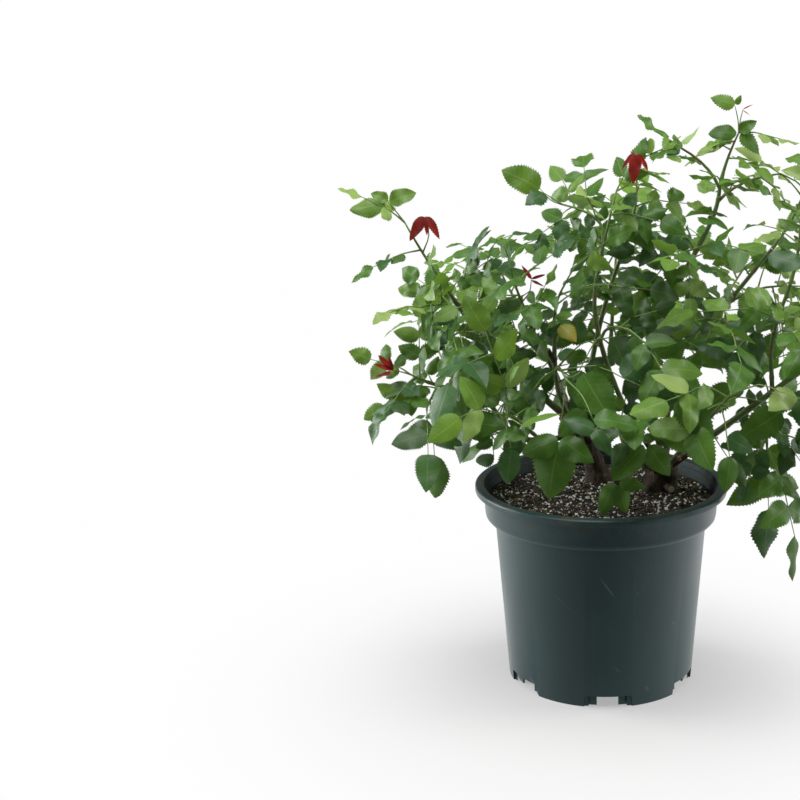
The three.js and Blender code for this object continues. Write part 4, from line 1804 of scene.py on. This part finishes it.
@dataclass(frozen=True)
class PlacedLeaf:
    """A listed leaf: its shoot, its place on it, its tint, its stalk and its leaflets."""

    shoot: str
    share: float
    tint: Tint
    stalk: tuple[tuple[float, float, float], ...]
    leaflets: tuple[tuple[tuple[float, float, float], tuple[float, float, float]], ...]

    def leaf(self, line: Line) -> Leaf:
        """The leaf on its shoot's line, each leaflet laid from its root to its tip.

        Args:
            line: the shoot's line.

        Returns:
            The leaf.
        """
        made = []
        for ends in self.leaflets:
            root, tip = (np.array(end, float) for end in ends)
            forward, length = unit(tip - root), float(np.linalg.norm(tip - root))
            face = np.array([forward[0] * 0.3, -0.85, 0.55])
            face = unit(face - forward * float(face @ forward))
            made.append(Leaflet(root, forward, face, length, 0.25))
        stalk = [line.point(self.share), *(np.array(place, float) for place in self.stalk)]
        return Leaf(stalk, made, [], self.shoot, self.tint)


PLACED_ROWS = (
    ("tall_centre_left", 1.0, Tint.LIGHT, ((-42, -10, 438), (-51, -11, 448)),
     (((-51, -11, 448), (-82, -20, 469)),)),
    ("centre_front", 1.0, Tint.MIDDLE, ((-30, -100, 278), (-34, -101, 254)),
     (((-35, -101, 251), (-65, -110, 241)), ((-34, -102, 248), (-46, -112, 200)),
      ((-32, -101, 250), (-5, -108, 231)))),
    ("front_tip", 1.0, Tint.MIDDLE, ((24, -104, 256), (38, -102, 247)),
     (((36, -102, 245), (8, -110, 219)), ((40, -102, 245), (58, -108, 221)))),
    ("front_tip", 0.05, Tint.MIDDLE, ((20, -90, 234), (14, -96, 213)),
     (((13, -96, 210), (-2, -105, 187)), ((15, -97, 209), (24, -104, 188)),
      ((16, -96, 211), (38, -98, 210)))),
    ("centre_front", 0.9, Tint.MIDDLE, ((-24, -98, 302), (-16, -97, 306)),
     (((-14, -97, 305), (11, -112, 265)),)),
    ("centre_tip", 0.15, Tint.YELLOW, ((-34, -58, 345),),
     (((-33, -72, 341), (-19, -86, 333)),)),
    ("tall_right_tip", 1.0, Tint.LIGHT, ((119, 40, 499), (116, 37, 511)),
     (((116, 37, 512), (95, 34, 519)), ((117, 37, 512), (120, 35, 520)))),
    ("tall_right_tip", 0.85, Tint.LIGHT, ((119, 39, 487),),
     (((118, 38, 488), (94, 32, 491)), ((121, 38, 487), (141, 33, 474)),
      ((120, 38, 489), (134, 36, 499)))),
    ("upper_left_tip", 1.0, Tint.LIGHT, ((-177, -6, 430), (-184, -8, 439)),
     (((-186, -9, 438), (-219, -14, 431)), ((-183, -9, 440), (-197, -12, 447)),
      ((-182, -9, 438), (-160, -12, 449)))),
    ("front_left_tip", 0.95, Tint.BLUISH, ((-76, -99, 255), (-74, -97, 241)),
     (((-74, -97, 240), (-78, -99, 209)),)),
    ("upper_left_tip", 0.6, Tint.RED, ((-149, -2, 408), (-151, -6, 425)),
     (((-152, -7, 425), (-164, -12, 403)), ((-150, -7, 425), (-138, -12, 406)),
      ((-151, -4, 425), (-148, -9, 409)))),
    ("tall_centre_right", 1.0, Tint.RED, ((24, -22, 452), (30, -24, 466), (30, -25, 479)),
     (((29, -26, 478), (17, -28, 466)), ((30, -28, 477), (27, -34, 452)),
      ((31, -26, 477), (41, -30, 464)))),
    ("low_left_tip", 1.0, Tint.RED, ((-175, -28, 291), (-181, -29, 292)),
     (((-182, -29, 293), (-197, -31, 300)), ((-181, -29, 293), (-193, -30, 307)),
      ((-181, -30, 292), (-185, -30, 306)), ((-182, -30, 291), (-197, -32, 288)))),
    ("middle_left_tip", 0.3, Tint.RED, ((-60, -34, 362), (-58, -36, 374)),
     (((-58, -36, 374), (-66, -38, 386)), ((-58, -36, 374), (-46, -38, 378)),
      ((-58, -37, 373), (-47, -41, 369)))),
    ("tall_right_tip", 1.0, Tint.RED, ((121, 39, 499), (123, 38, 508)),
     (((123, 38, 508), (131, 36, 512)), ((123, 38, 507), (129, 35, 503)))),
)
PLACED = tuple(PlacedLeaf(*row) for row in PLACED_ROWS)


@dataclass(frozen=True)
class Stand:
    """What one try at a leaf starts from: its line and place, and how it is drawn."""

    line: Line
    along: float
    last: bool
    leaflet: float
    droop: float
    number: int
    seed: int

    def grow(self, attempt: int) -> Leaf:
        """One try at the leaf: a stalk that droops, pairs of leaflets and one at its end.

        Args:
            attempt: which try it is, which changes all that is drawn.

        Returns:
            The leaf.
        """
        draw = Draws(self.seed * 7919 + self.number * 131 + attempt)
        forward, across, other = self.line.cross_axes(self.along)
        turn = math.radians(self.number * RULE.phyllotaxis + draw() * 360)
        wide = 10 + 25 * draw() if self.last else 48 + 30 * draw()
        opened = math.radians(wide)
        length = self.leaflet * (0.86 + 0.28 * draw())
        pairs = 1 if draw() < 0.25 else 2
        roll = math.radians(50 * (draw() - 0.5))
        aside = across * math.cos(turn) + other * math.sin(turn)
        heading = forward * math.cos(opened) + aside * math.sin(opened)
        place = self.line.point(self.along)
        outward = (place - CROWN_AXIS) * np.array([1.0, 1.0, 0.0])
        light = SKY + unit(outward) * 0.4
        rings, stalk, leaflets = [], [place], []
        for joint in range(pairs + 1):
            share = RULE.petiole * (0.85 + 0.4 * draw()) if joint == 0 else RULE.interval
            normal = turned(unit(light - heading * float(light @ heading)), heading, roll)
            if joint == 0:
                rings.append(twig_ring(place, heading, normal))
            place = place + heading * share * length
            stalk.append(place)
            if joint != 1 or pairs == 1:
                rings.append(twig_ring(place, heading, normal))
            if joint == pairs:
                break
            size = length * (0.9 if joint == pairs - 1 else 0.74)
            root = place - heading * RULE.setback
            for side in (1, -1):
                splay = math.radians(RULE.splay + 14 * (draw() - 0.5)) * side
                away = turned(heading, normal, splay)
                tilt = math.radians(24 * (draw() - 0.4))
                face = turned(normal, heading, -tilt * side)
                face = unit(face - away * float(face @ away))
                leaflets.append(Leaflet(root, away, face, size))
            if joint == 0:
                heading = unit(heading - UP * 1.6 * self.droop)
        leaflets.append(Leaflet(place - heading * RULE.setback, heading, normal, length))
        return Leaf(stalk, leaflets, Block.chain(rings))


def twig_ring(middle: np.ndarray, forward: np.ndarray, normal: np.ndarray) -> np.ndarray:
    """The three corners of a twig's section.

    Args:
        middle: the middle of the section.
        forward: the direction of the twig.
        normal: the side its first corner faces.

    Returns:
        One row for each corner.
    """
    side = cross(forward, normal)
    angles = np.radians([0, 120, 240])
    return middle + RULE.twig * (np.outer(np.cos(angles), normal) + np.outer(np.sin(angles), side))


class Crown:
    """Grows the shoots and their leaves clear of each other, and then tends them."""

    def __init__(self, wood: Wood, pot: NurseryPot, plans: Sequence[ShootPlan]) -> None:
        """Lays the limbs, the pot and all the shoots, and then grows the leaves.

        Args:
            wood: the limbs that carry the shoots.
            pot: the pot that the leaves hang clear of.
            plans: the shoots.
        """
        self.room = Room()
        self.leaves: list[Leaf] = []
        self.lines: dict[str, Line] = {}
        self.wood = wood
        for limb in wood.limbs:
            self.room.take(self.limb_blocks(limb))
        self.room.take([self.pot_block(pot)])
        self.own: dict[str, range] = {}
        for plan in plans:
            line = plan.line(wood.lines[plan.limb])
            radii = [RULE.stem_foot, (RULE.stem_foot + RULE.stem_tip) / 2, RULE.stem_tip]
            rings = [line.section(i / 2, radius, 3) for i, radius in enumerate(radii)]
            self.own[plan.name] = self.room.take(Block.chain(rings))
            self.lines[plan.name] = line
        self.own_end = len(self.room.blocks)
        for plan in plans:
            for number in range(plan.leaves):
                last = number == plan.leaves - 1
                along = 1.0 if last else 0.28 + 0.72 * (number + 1) / plan.leaves
                line = self.lines[plan.name]
                stand = Stand(line, along, last, plan.leaflet, plan.droop, number, plan.seed)
                self.settle(stand, plan.name, self.own[plan.name], 1)

    def limb_blocks(self, limb: Limb) -> list[Block]:
        """The blocks of a limb's stretches.

        Args:
            limb: the cane or trunk.

        Returns:
            The blocks along it.
        """
        line, steps = self.wood.lines[limb.name], RULE.limb_rings - 1
        shares = [index / steps for index in range(steps + 1)]
        rings = [line.section(share, limb.radius(share), RULE.limb_sides) for share in shares]
        return Block.chain(rings)

    def pot_block(self, pot: NurseryPot) -> Block:
        """The block of the whole pot, a sixteen-sided drum round its lip.

        Args:
            pot: the nursery pot.

        Returns:
            The block that holds the pot.
        """
        angles = np.arange(16) * math.pi / 8
        radius = pot.lip_radius / math.cos(math.pi / 16)
        rim = np.column_stack([np.cos(angles) * radius, np.sin(angles) * radius, angles * 0])
        middles = (np.arange(8) + 0.5) * math.pi / 8
        sides = np.column_stack([np.cos(middles), np.sin(middles), middles * 0])
        return Block(np.vstack([rim, rim + UP * pot.height]), [UP, *sides], UP)

    def settle(self, stand: Stand, mass: str, own: Sequence[int], missing: int) -> bool:
        """Tries stands for a leaf until one is clear, and keeps that.

        Args:
            stand: what the tries start from.
            mass: the mass of foliage that the leaf belongs to.
            own: the blocks that its stalk may touch at its foot.
            missing: how many leaflets it may lose.

        Returns:
            Whether the leaf was kept.
        """
        for attempt in range(RULE.tries):
            leaf = stand.grow(attempt)
            clear = (self.room.free(b, own if i == 0 else ()) for i, b in enumerate(leaf.twigs))
            if not all(clear):
                continue
            blocks = [item.block() for item in leaf.leaflets]
            kept = [i for i, block in enumerate(blocks) if self.room.free(block)]
            if len(kept) < len(blocks) - missing:
                continue
            self.room.take([*leaf.twigs, *(blocks[i] for i in kept)])
            leaf.leaflets = [leaf.leaflets[i] for i in kept]
            leaf.mass = mass
            self.leaves.append(leaf)
            return True
        return False

    def plant(self, placed: Sequence[PlacedLeaf]) -> None:
        """Adds the listed leaves, and takes out the leaflets that stand in their way.

        Args:
            placed: the leaves.
        """
        made = [row.leaf(self.lines[row.shoot]) for row in placed]
        room = Room()
        for leaf in made:
            room.take([item.block() for item in leaf.leaflets])
        for leaf in self.leaves:
            leaf.leaflets = [item for item in leaf.leaflets if room.free(item.block())]
        self.leaves = made + [leaf for leaf in self.leaves if leaf.leaflets]

    def lean(self) -> None:
        """Bends the leaves that stand up past the crown's top over to their own side."""
        axis = np.array([0.0, 1.0, 0.0])
        for leaf in self.leaves:
            foot = leaf.stalk[0]
            if leaf.tint or leaf.stalk[-1][2] < CARE.tall:
                continue
            angle = math.copysign(CARE.bow, leaf.stalk[-1][0] - foot[0])
            leaf.stalk = [foot + turned(place - foot, axis, angle) for place in leaf.stalk]
            leaf.twigs = []
            for item in leaf.leaflets:
                item.root = foot + turned(item.root - foot, axis, angle)
                item.forward = turned(item.forward, axis, angle)
                item.normal = turned(item.normal, axis, angle)

    def trim(self) -> None:
        """Makes the large leaflets high in the crown finer, and the room round them free."""
        standing = self.room.blocks[: self.own_end]
        self.room = Room()
        self.room.take(standing)
        for leaf in self.leaves:
            for item in leaf.leaflets:
                large = held((item.length - CARE.large) / CARE.large_span)
                high = held((item.root[2] - CARE.fine_foot) / CARE.fine_span, 0.1)
                item.length *= 1 - CARE.finer * large * high * item.play
            self.room.take([*leaf.twigs, *(item.block() for item in leaf.leaflets)])

    def fill(self, plans: Sequence[ShootPlan]) -> None:
        """Adds the smaller leaves between the large ones, along the shoots and the canes.

        Args:
            plans: the shoots.
        """
        for plan in plans:
            for extra in range(4):
                along = 0.24 + 0.2 * extra
                line = self.lines[plan.name]
                sparse = extra % 2 and line.point(1)[0] < CARE.sparse_left
                if line.point(along)[2] > CARE.filled_top or sparse:
                    continue
                size = min(plan.leaflet, 30) * (0.74 if extra % 2 else 0.86)
                stand = Stand(line, along, False, size, plan.droop, 20 + extra, plan.seed + 1)
                self.settle(stand, plan.name, self.own[plan.name], 2)
        masses = {plan.limb: plan.name for plan in plans}
        each = RULE.limb_rings - 1
        for index, limb in enumerate(self.wood.limbs):
            if not limb.parent:
                continue
            own = range(index * each, (index + 1) * each)
            for extra in range(6):
                along = 0.42 + 0.56 * extra / 5
                line = self.wood.lines[limb.name]
                stand = Stand(line, along, False, 25 - 0.4 * extra, 0.3, 40 + extra, 300 + index)
                self.settle(stand, masses[limb.name], own, 2)

    def clear(self, pot: NurseryPot) -> None:
        """Takes out the grown leaflets that hide what should stay in sight.

        That is the potting mix, the front of the pot's lip, the bare canes and the listed
        leaves.

        Args:
            pot: the pot.
        """
        angles = np.radians(np.arange(CARE.lip_from, CARE.lip_to, 5))
        lip = np.column_stack([np.cos(angles), np.sin(angles), angles * 0]) * pot.lip_radius
        bare = [
            self.wood.lines[name].point(share)
            for name, low, high in CARE.bare
            for share in np.linspace(low, high, 14)
        ]
        placed = [item for leaf in self.leaves if leaf.tint for item in leaf.leaflets]
        for share in (0.25, 0.5, 0.75):
            bare += [item.root + item.forward * item.length * share for item in placed]
        places = np.vstack([lip + UP * pot.height, np.array(bare)])
        for leaf in self.leaves:
            if not leaf.tint:
                leaf.leaflets = [
                    item
                    for item in leaf.leaflets
                    if not item.over_mix() and not item.before(places)
                ]
        self.leaves = [leaf for leaf in self.leaves if leaf.leaflets]
        for leaf in self.leaves:
            if not leaf.tint:
                stalk = np.array(leaf.stalk)
                away = [np.linalg.norm(item.root - stalk, axis=1) for item in leaf.leaflets]
                leaf.stalk = leaf.stalk[: max(int(np.argmin(row)) for row in away) + 1]

    def report(self, stage: str) -> None:
        """Logs how many leaves and leaflets there are after a stage of the growth."""
        leaflets = sum(len(leaf.leaflets) for leaf in self.leaves)
        LOG.info("%s: %d leaves, %d leaflets", stage, len(self.leaves), leaflets)

    def tinge(self) -> None:
        """Deals out the tints, deep low and inside, fresh high and outside: partly painted light.
        """
        draws = Draws(CARE.tint_seed)
        for leaf in self.leaves:
            if leaf.tint:
                continue
            place = leaf.stalk[-1]
            height = (place[2] - CARE.crown_foot) / CARE.crown_height
            reach = float(np.linalg.norm((place - CROWN_AXIS)[:2])) / CARE.crown_reach
            # Partly the paler young growth and partly painted light: darker tints for shade low in
            # the crown and inside it, paler ones for its lit top.
            light = 0.5 * height + 0.5 * reach + 0.6 * max(height - 0.62, 0)
            light += draws.between(-0.3, 0.3)
            steps = [(0.2, Tint.DEEP), (0.38, Tint.BLUISH), (0.64, Tint.MIDDLE), (0.88, Tint.LIGHT)]
            leaf.tint = next((tint for edge, tint in steps if light < edge), Tint.FRESH)


# ---- foliage


class Sheaf:
    """Many thin shapes of one kind, gathered into one mesh."""

    def __init__(self) -> None:
        """Starts empty."""
        self.places: list[np.ndarray] = []
        self.corners: list[np.ndarray] = []
        self.counts: list[np.ndarray] = []
        self.maps: list[np.ndarray] = []
        self.total = 0

    def add(
        self, places: np.ndarray, corners: np.ndarray, counts: np.ndarray, flat: np.ndarray
    ) -> None:
        """Adds a shape.

        Args:
            places: its places, in millimetres.
            corners: the place that each corner of each face has.
            counts: how many corners each face has.
            flat: the map's two values at each place.
        """
        self.places.append(places)
        self.corners.append(corners + self.total)
        self.counts.append(counts)
        self.maps.append(flat)
        self.total += len(places)

    def tube(self, line: Line, radii: Sequence[float], sides: int) -> None:
        """Adds a tube along a line, closed at its tip.

        Args:
            line: the tube's line.
            radii: its radius at even steps from foot to tip.
            sides: how many corners its section has.
        """
        last = len(radii) - 1
        rings = [line.section(index / last, radius, sides) for index, radius in enumerate(radii)]
        around = np.arange(sides)
        ahead = (around + 1) % sides
        band = np.column_stack([around, ahead, ahead + sides, around + sides])
        quads = [band + step * sides for step in range(last)]
        cap = around + last * sides
        corners = np.concatenate([np.concatenate(quads).ravel(), cap])
        counts = np.array([4] * (sides * last) + [sides])
        steps = np.repeat(np.arange(last + 1) / last, sides)
        flat = np.column_stack([steps, np.tile(around / sides, last + 1)])
        self.add(np.vstack(rings), corners, counts, flat)

    def mesh(self, name: str) -> Mesh:
        """All the shapes as one mesh in metres.

        Args:
            name: the mesh's name.

        Returns:
            The mesh, in metres.
        """
        mesh = bpy.data.meshes.new(name)
        places, corners = np.vstack(self.places) * MM, np.concatenate(self.corners)
        counts, flat = np.concatenate(self.counts), np.vstack(self.maps)
        mesh.vertices.add(len(places))
        mesh.vertices.foreach_set("co", places.astype(np.float32).ravel())
        mesh.loops.add(len(corners))
        mesh.loops.foreach_set("vertex_index", corners.astype(np.int32))
        mesh.polygons.add(len(counts))
        starts = np.concatenate([[0], np.cumsum(counts)[:-1]])
        mesh.polygons.foreach_set("loop_start", starts.astype(np.int32))
        layer = mesh.uv_layers.new(name="leaflet")
        layer.data.foreach_set("uv", flat[corners].astype(np.float32).ravel())
        mesh.polygons.foreach_set("use_smooth", np.ones(len(counts), bool))
        mesh.update(calc_edges=True)
        return mesh


class Blade:
    """The net of one leaflet: pointed at both ends, folded at its midrib, with a toothed edge."""

    def __init__(self, stations: int, tooth: float) -> None:
        """Lays out the net.

        Args:
            stations: how many steps the inner part has along its length. The edge has twice.
            tooth: how far the teeth stand out, as a share of the half width.
        """
        inner = [(i / stations, side, 0.0) for i in range(1, stations) for side in (-0.5, 0.0, 0.5)]
        edge = []
        for side in (-1.0, 1.0):
            for j in range(1, 2 * stations):
                edge.append((j / (2 * stations), side, tooth if j % 2 else -tooth * 0.6))
        rows = [(0.0, 0.0, 0.0), (1.0, 0.0, 0.0), *inner, *edge]
        self.along, self.side, self.teeth = np.array(rows).T
        self.along = self.along + np.where(self.teeth > 0, 0.018, 0.0)
        self.stations = stations
        faces = self.faces()
        self.corners = np.concatenate([np.array(face) for face in faces])
        self.counts = np.array([len(face) for face in faces])
        self.flat = np.column_stack([self.along, 0.5 + 0.5 * self.side])

    def inner(self, row: int, column: int) -> int:
        """The number of an inner place: row from 1, column from -1 to 1."""
        return 2 + (row - 1) * 3 + column + 1

    def rim(self, step: int, side: int) -> int:
        """The number of a place on the edge: step from 1, side -1 or 1."""
        first = 2 + (self.stations - 1) * 3
        return first + (0 if side < 0 else 2 * self.stations - 1) + step - 1

    def faces(self) -> list[list[int]]:
        """The faces, all with their upper sides out.

        Returns:
            Each face's corner numbers.
        """
        n, faces = self.stations, []
        for row in range(1, n - 1):
            for column in (-1, 0):
                low, high = self.inner(row, column), self.inner(row + 1, column)
                faces.append([low, high, high + 1, low + 1])
            a, b = self.inner(row, 1), self.inner(row + 1, 1)
            rim = [self.rim(2 * row + step, 1) for step in (2, 1, 0)]
            faces.append([a, b, *rim])
            a, b = self.inner(row, -1), self.inner(row + 1, -1)
            rim = [self.rim(2 * row + step, -1) for step in (0, 1, 2)]
            faces.append([a, *rim, b])
        one, end = ([self.inner(row, column) for column in (-1, 0, 1)] for row in (1, n - 1))
        faces += [[0, one[1], one[2]], [0, one[0], one[1]]]
        faces += [[0, one[2], self.rim(2, 1), self.rim(1, 1)]]
        faces += [[0, self.rim(1, -1), self.rim(2, -1), one[0]]]
        faces += [[end[1], 1, end[2]], [end[0], 1, end[1]]]
        last = 2 * n - 1
        faces += [[end[2], 1, self.rim(last, 1), self.rim(last - 1, 1)]]
        faces += [[end[0], self.rim(last - 1, -1), self.rim(last, -1), 1]]
        return faces

    def bent(self, leaflet: Leaflet, draws: Draws, young: bool) -> np.ndarray:
        """The places of one leaflet.

        Args:
            leaflet: where it is.
            draws: the random numbers that bend it.
            young: whether it is a young leaflet, narrow and half folded.

        Returns:
            A row for each place, in millimetres.
        """
        u, v = np.clip(self.along, 0, 1), self.side
        foot, point = draws.between(0.46, 0.6), draws.between(0.74, 1.02)
        crest = foot / (foot + point)
        outline = np.power(u, foot) * np.power(1 - u, point) / (crest**foot * (1 - crest) ** point)
        wide = draws.between(0.56, 0.71)
        wide *= 0.6 * min(leaflet.length / 24, 1) if young else 1
        half = wide / 2 * leaflet.length * outline
        across = half * v * (1 + self.teeth) * (1 + draws.between(-0.06, 0.06) * v)
        creased = draws() < 0.16
        fold = draws.between(0.06, 0.34) if not creased else draws.between(0.4, 0.85)
        fold = draws.between(0.25, 0.6) if young else fold
        curl = draws.between(0.0, 0.55)
        wave, phase = draws.between(0.04, 0.24), draws() * 6.28
        arch = draws.between(-0.04, 0.42) if not young else draws.between(0.0, 0.16)
        lift = half * (fold * np.abs(v) - curl * v * v)
        lift = lift + half * wave * np.sin(11 * u + phase + 1.3 * np.sign(v)) * np.abs(v)
        lift = lift + leaflet.length * (0.25 * arch * u - arch * u * u)
        sway = draws.between(-0.07, 0.07) * leaflet.length * u * u
        play = leaflet.play
        forward = turned(leaflet.forward, leaflet.normal, draws.between(-0.22, 0.22) * play)
        normal = turned(leaflet.normal, forward, draws.between(-0.4, 0.4) * play)
        left, nod = cross(normal, forward), draws.between(-0.12, 0.3) * play
        axes = np.array([turned(forward, left, nod), left, turned(normal, left, nod)])
        net = np.column_stack([self.along * leaflet.length, across + sway, lift])
        return leaflet.root + net @ axes


@dataclass
class Foliage:
    """All that grows on the canes: shoots, leaf stalks and leaflets."""

    seed: int = 5
    stalk_sides: int = 5
    shoot: StemFinish = StemFinish("shoot_skin", 0x4C6A2A, 0x627A32, 0.5, 0.2)
    stalk: StemFinish = StemFinish("stalk_skin", 0x587634, 0x6A863C, 0.5, 0.15, 0x80543A, 0.35)

    def build(self, bench: Bench, crown: Crown, plans: Sequence[ShootPlan]) -> None:
        """Builds the shoots, the stalks and the leaflets of each tint.

        Args:
            bench: where pieces are laid.
            crown: the grown crown.
            plans: the shoots.
        """
        draws = Draws(self.seed)
        stems, stalks = Sheaf(), Sheaf()
        for plan in plans:
            line = crown.lines[plan.name]
            thick = 2.0 if plan.at == 1 else 1.5
            stems.tube(line, [thick, 1.5, 1.35, 1.2, 1.1, 0.95, 0.8], 7)
        blades = (Blade(10, 0.14), Blade(16, 0.1))
        ladder = (Tint.DEEP, Tint.BLUISH, Tint.MIDDLE, Tint.LIGHT, Tint.FRESH)
        sheaves = {tint: Sheaf() for tint in Tint}
        masses: dict[Tint, set[str]] = {tint: set() for tint in Tint}
        for leaf in crown.leaves:
            line = SmoothLine(leaf.stalk)
            stalks.tube(line, [1.0, 0.72, 0.6, 0.55, 0.5, 0.42, 0.34], self.stalk_sides)
            for leaflet in leaf.leaflets:
                blade = blades[1 if leaflet.length > 24 else 0]
                tint, chance = leaf.tint, draws()
                if tint in ladder and chance < 0.24:
                    step = ladder.index(tint) + (1 if chance < 0.12 else -1)
                    tint = ladder[min(max(step, 0), len(ladder) - 1)]
                places = blade.bent(leaflet, draws, tint is Tint.RED)
                sheaves[tint].add(places, blade.corners, blade.counts, blade.flat)
                masses[tint].add(f"{leaf.mass}_foliage")
        every = [f"{plan.name}_foliage" for plan in plans]
        bench.lay("shoot_stems", stems.mesh("shoot_stems"), self.shoot, every)
        bench.lay("leaf_stalks", stalks.mesh("leaf_stalks"), self.stalk)
        for tint, sheaf in sheaves.items():
            if sheaf.total:
                name = f"leaflets_{tint.name.lower()}"
                bench.lay(name, sheaf.mesh(name), tint.value, sorted(masses[tint]))


# ---- studio


@dataclass(frozen=True)
class Softbox:
    """A soft light: where it is, what it points at, its size, its power and its colour."""

    name: str
    place: tuple[float, float, float]
    aim: tuple[float, float, float]
    width: float
    height: float
    power: float
    colour: tuple[float, float, float] = (1.0, 1.0, 1.0)


@dataclass
class Studio:
    """The floor, the soft lights, the white surroundings and the camera."""

    floor_size: float = 14.0
    camera_place: tuple[float, float, float] = (-2.38, -1324.18, 592.28)
    camera_right: tuple[float, float, float] = (0.99168855, 0.12472411, -0.03158662)
    camera_up: tuple[float, float, float] = (0.00010475, 0.2447187, 0.96959411)
    lens: float = 68.334
    # the middle of the painted shadow round the pot, in metres
    shade_middle: tuple[float, float, float] = (-0.015, -0.03, 0.0)
    floor_colour: int = 0xB8B8B7
    floor_clouds: int = 0xB4B4B3
    lights: tuple[Softbox, ...] = (
        Softbox("top_light", (-0.1, -0.3, 2.3), (0, 0, 0.2), 1.6, 1.6, 64.0),
        Softbox("left_light", (-1.9, 0.45, 0.75), (0, 0, 0.2), 1.0, 1.4, 58.0),
        Softbox("right_light", (2.0, 0.45, 0.9), (0, 0, 0.25), 1.0, 1.4, 36.0),
        Softbox("front_light", (-0.7, -2.3, 2.4), (0, 0, 0.35), 1.2, 0.9, 9.0),
    )

    def floor(self) -> None:
        """Builds the pale glowing floor, which lights the object from its sides and from behind it.
        """
        bm = bmesh.new()
        bmesh.ops.create_grid(bm, x_segments=4, y_segments=4, size=self.floor_size / 2)
        mesh = kept_mesh(bm, "floor")
        material = bpy.data.materials.new("floor_paint")
        material.use_nodes = True
        recipe = Recipe(material.node_tree)
        shader = recipe.first("BSDF_PRINCIPLED")
        where = recipe.place()
        seen = recipe.add("ShaderNodeLightPath").outputs["Is Camera Ray"]
        clouds = recipe.cloud(where, 1.5, 2)
        paint = recipe.blend(clouds, linear(self.floor_colour), linear(self.floor_clouds))
        recipe.feed(shader.inputs["Base Color"], paint)
        shader.inputs["Roughness"].default_value = 0.9
        shader.inputs["Specular IOR Level"].default_value = 0.1
        ends = {0: where, 1: self.shade_middle}
        apart = recipe.add("ShaderNodeVectorMath", ends, operation="DISTANCE")
        reach = apart.outputs["Value"]
        # Painted shadow for the camera: the floor is mostly a glow, dimmer near the pot's foot,
        # with more of the really lit floor mixed in there.
        white = recipe.stretch(reach, 0.15, 0.4, 0.94, 0.995)
        glow = recipe.add("ShaderNodeEmission", {"Strength": white})
        share = recipe.stretch(reach, 0.06, 0.31, 0.42, 1.0)
        mixed = {0: share, 1: shader.outputs[0], 2: glow.outputs[0]}
        shown = recipe.add("ShaderNodeMixShader", mixed)
        parts = recipe.add("ShaderNodeSeparateXYZ", {"Vector": where})
        aside = recipe.maths("MULTIPLY", recipe.maths("ABSOLUTE", parts.outputs["X"]), 0.9)
        past = recipe.maths("ADD", aside, parts.outputs["Y"])
        lift = recipe.stretch(past, -0.45, 0.35, 0.12, 1.05)
        table = recipe.add("ShaderNodeEmission", {"Strength": lift})
        sides = {0: seen, 1: table.outputs[0], 2: shown.outputs[0]}
        both = recipe.add("ShaderNodeMixShader", sides)
        recipe.feed(recipe.first("OUTPUT_MATERIAL").inputs["Surface"], both.outputs[0])
        mesh.materials.append(material)
        floor = bpy.data.objects.new("floor", mesh)
        bpy.context.scene.collection.objects.link(floor)

    def surroundings(self) -> None:
        """Makes the surroundings: white to look at, and softer in what they light."""
        world = bpy.data.worlds.new("studio")
        world.use_nodes = True
        bpy.context.scene.world = world
        recipe = Recipe(world.node_tree)
        backdrop = recipe.first("BACKGROUND")
        seen = recipe.add("ShaderNodeLightPath").outputs["Is Camera Ray"]
        strength = recipe.maths("MULTIPLY_ADD", seen, 0.86, 0.16)
        backdrop.inputs["Color"].default_value = (1.0, 1.0, 1.0, 1.0)
        recipe.feed(backdrop.inputs["Strength"], strength)

    def light(self, box: Softbox) -> None:
        """Hangs one soft light.

        Args:
            box: the light to hang.
        """
        lamp = bpy.data.lights.new(box.name, "AREA")
        lamp.shape, lamp.size, lamp.size_y = "RECTANGLE", box.width, box.height
        lamp.energy, lamp.color = box.power, box.colour
        item = bpy.data.objects.new(box.name, lamp)
        bpy.context.scene.collection.objects.link(item)
        item.location = box.place
        way = Vector(box.aim) - Vector(box.place)
        item.rotation_euler = way.to_track_quat("-Z", "Y").to_euler()

    def camera(self) -> None:
        """Sets up the camera."""
        lens = bpy.data.cameras.new("camera")
        lens.lens, lens.sensor_width = self.lens, 36.0
        lens.clip_start, lens.clip_end = 0.05, 60.0
        item = bpy.data.objects.new("camera", lens)
        bpy.context.scene.collection.objects.link(item)
        right, up = Vector(self.camera_right), Vector(self.camera_up)
        back = right.cross(up)
        seat = Matrix((right, up, back)).transposed().to_4x4()
        seat.translation = Vector(self.camera_place) * MM
        item.matrix_world = seat
        bpy.context.scene.camera = item

    def build(self) -> None:
        """Builds the whole studio."""
        bpy.context.scene.view_settings.view_transform = "Standard"
        self.floor()
        self.surroundings()
        for box in self.lights:
            self.light(box)
        self.camera()


# ---- assembly


def main() -> None:
    """Builds the rose bush in its pot, and the studio round it."""
    logging.basicConfig(level=logging.INFO, format="%(name)s %(message)s")
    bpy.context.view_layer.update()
    bench = Bench()
    pot, mix, wood = NurseryPot(), PottingMix(), Wood()
    pot.build(bench)
    mix.build(bench)
    wood.build(bench)
    crown = Crown(wood, pot, SHOOTS)
    crown.report("grown")
    crown.plant(PLACED)
    crown.lean()
    crown.trim()
    crown.fill(SHOOTS)
    crown.clear(pot)
    crown.tinge()
    crown.report("tended")
    Foliage().build(bench, crown, SHOOTS)
    Studio().build()
    bpy.context.view_layer.update()


if __name__ == "__main__":
    main()
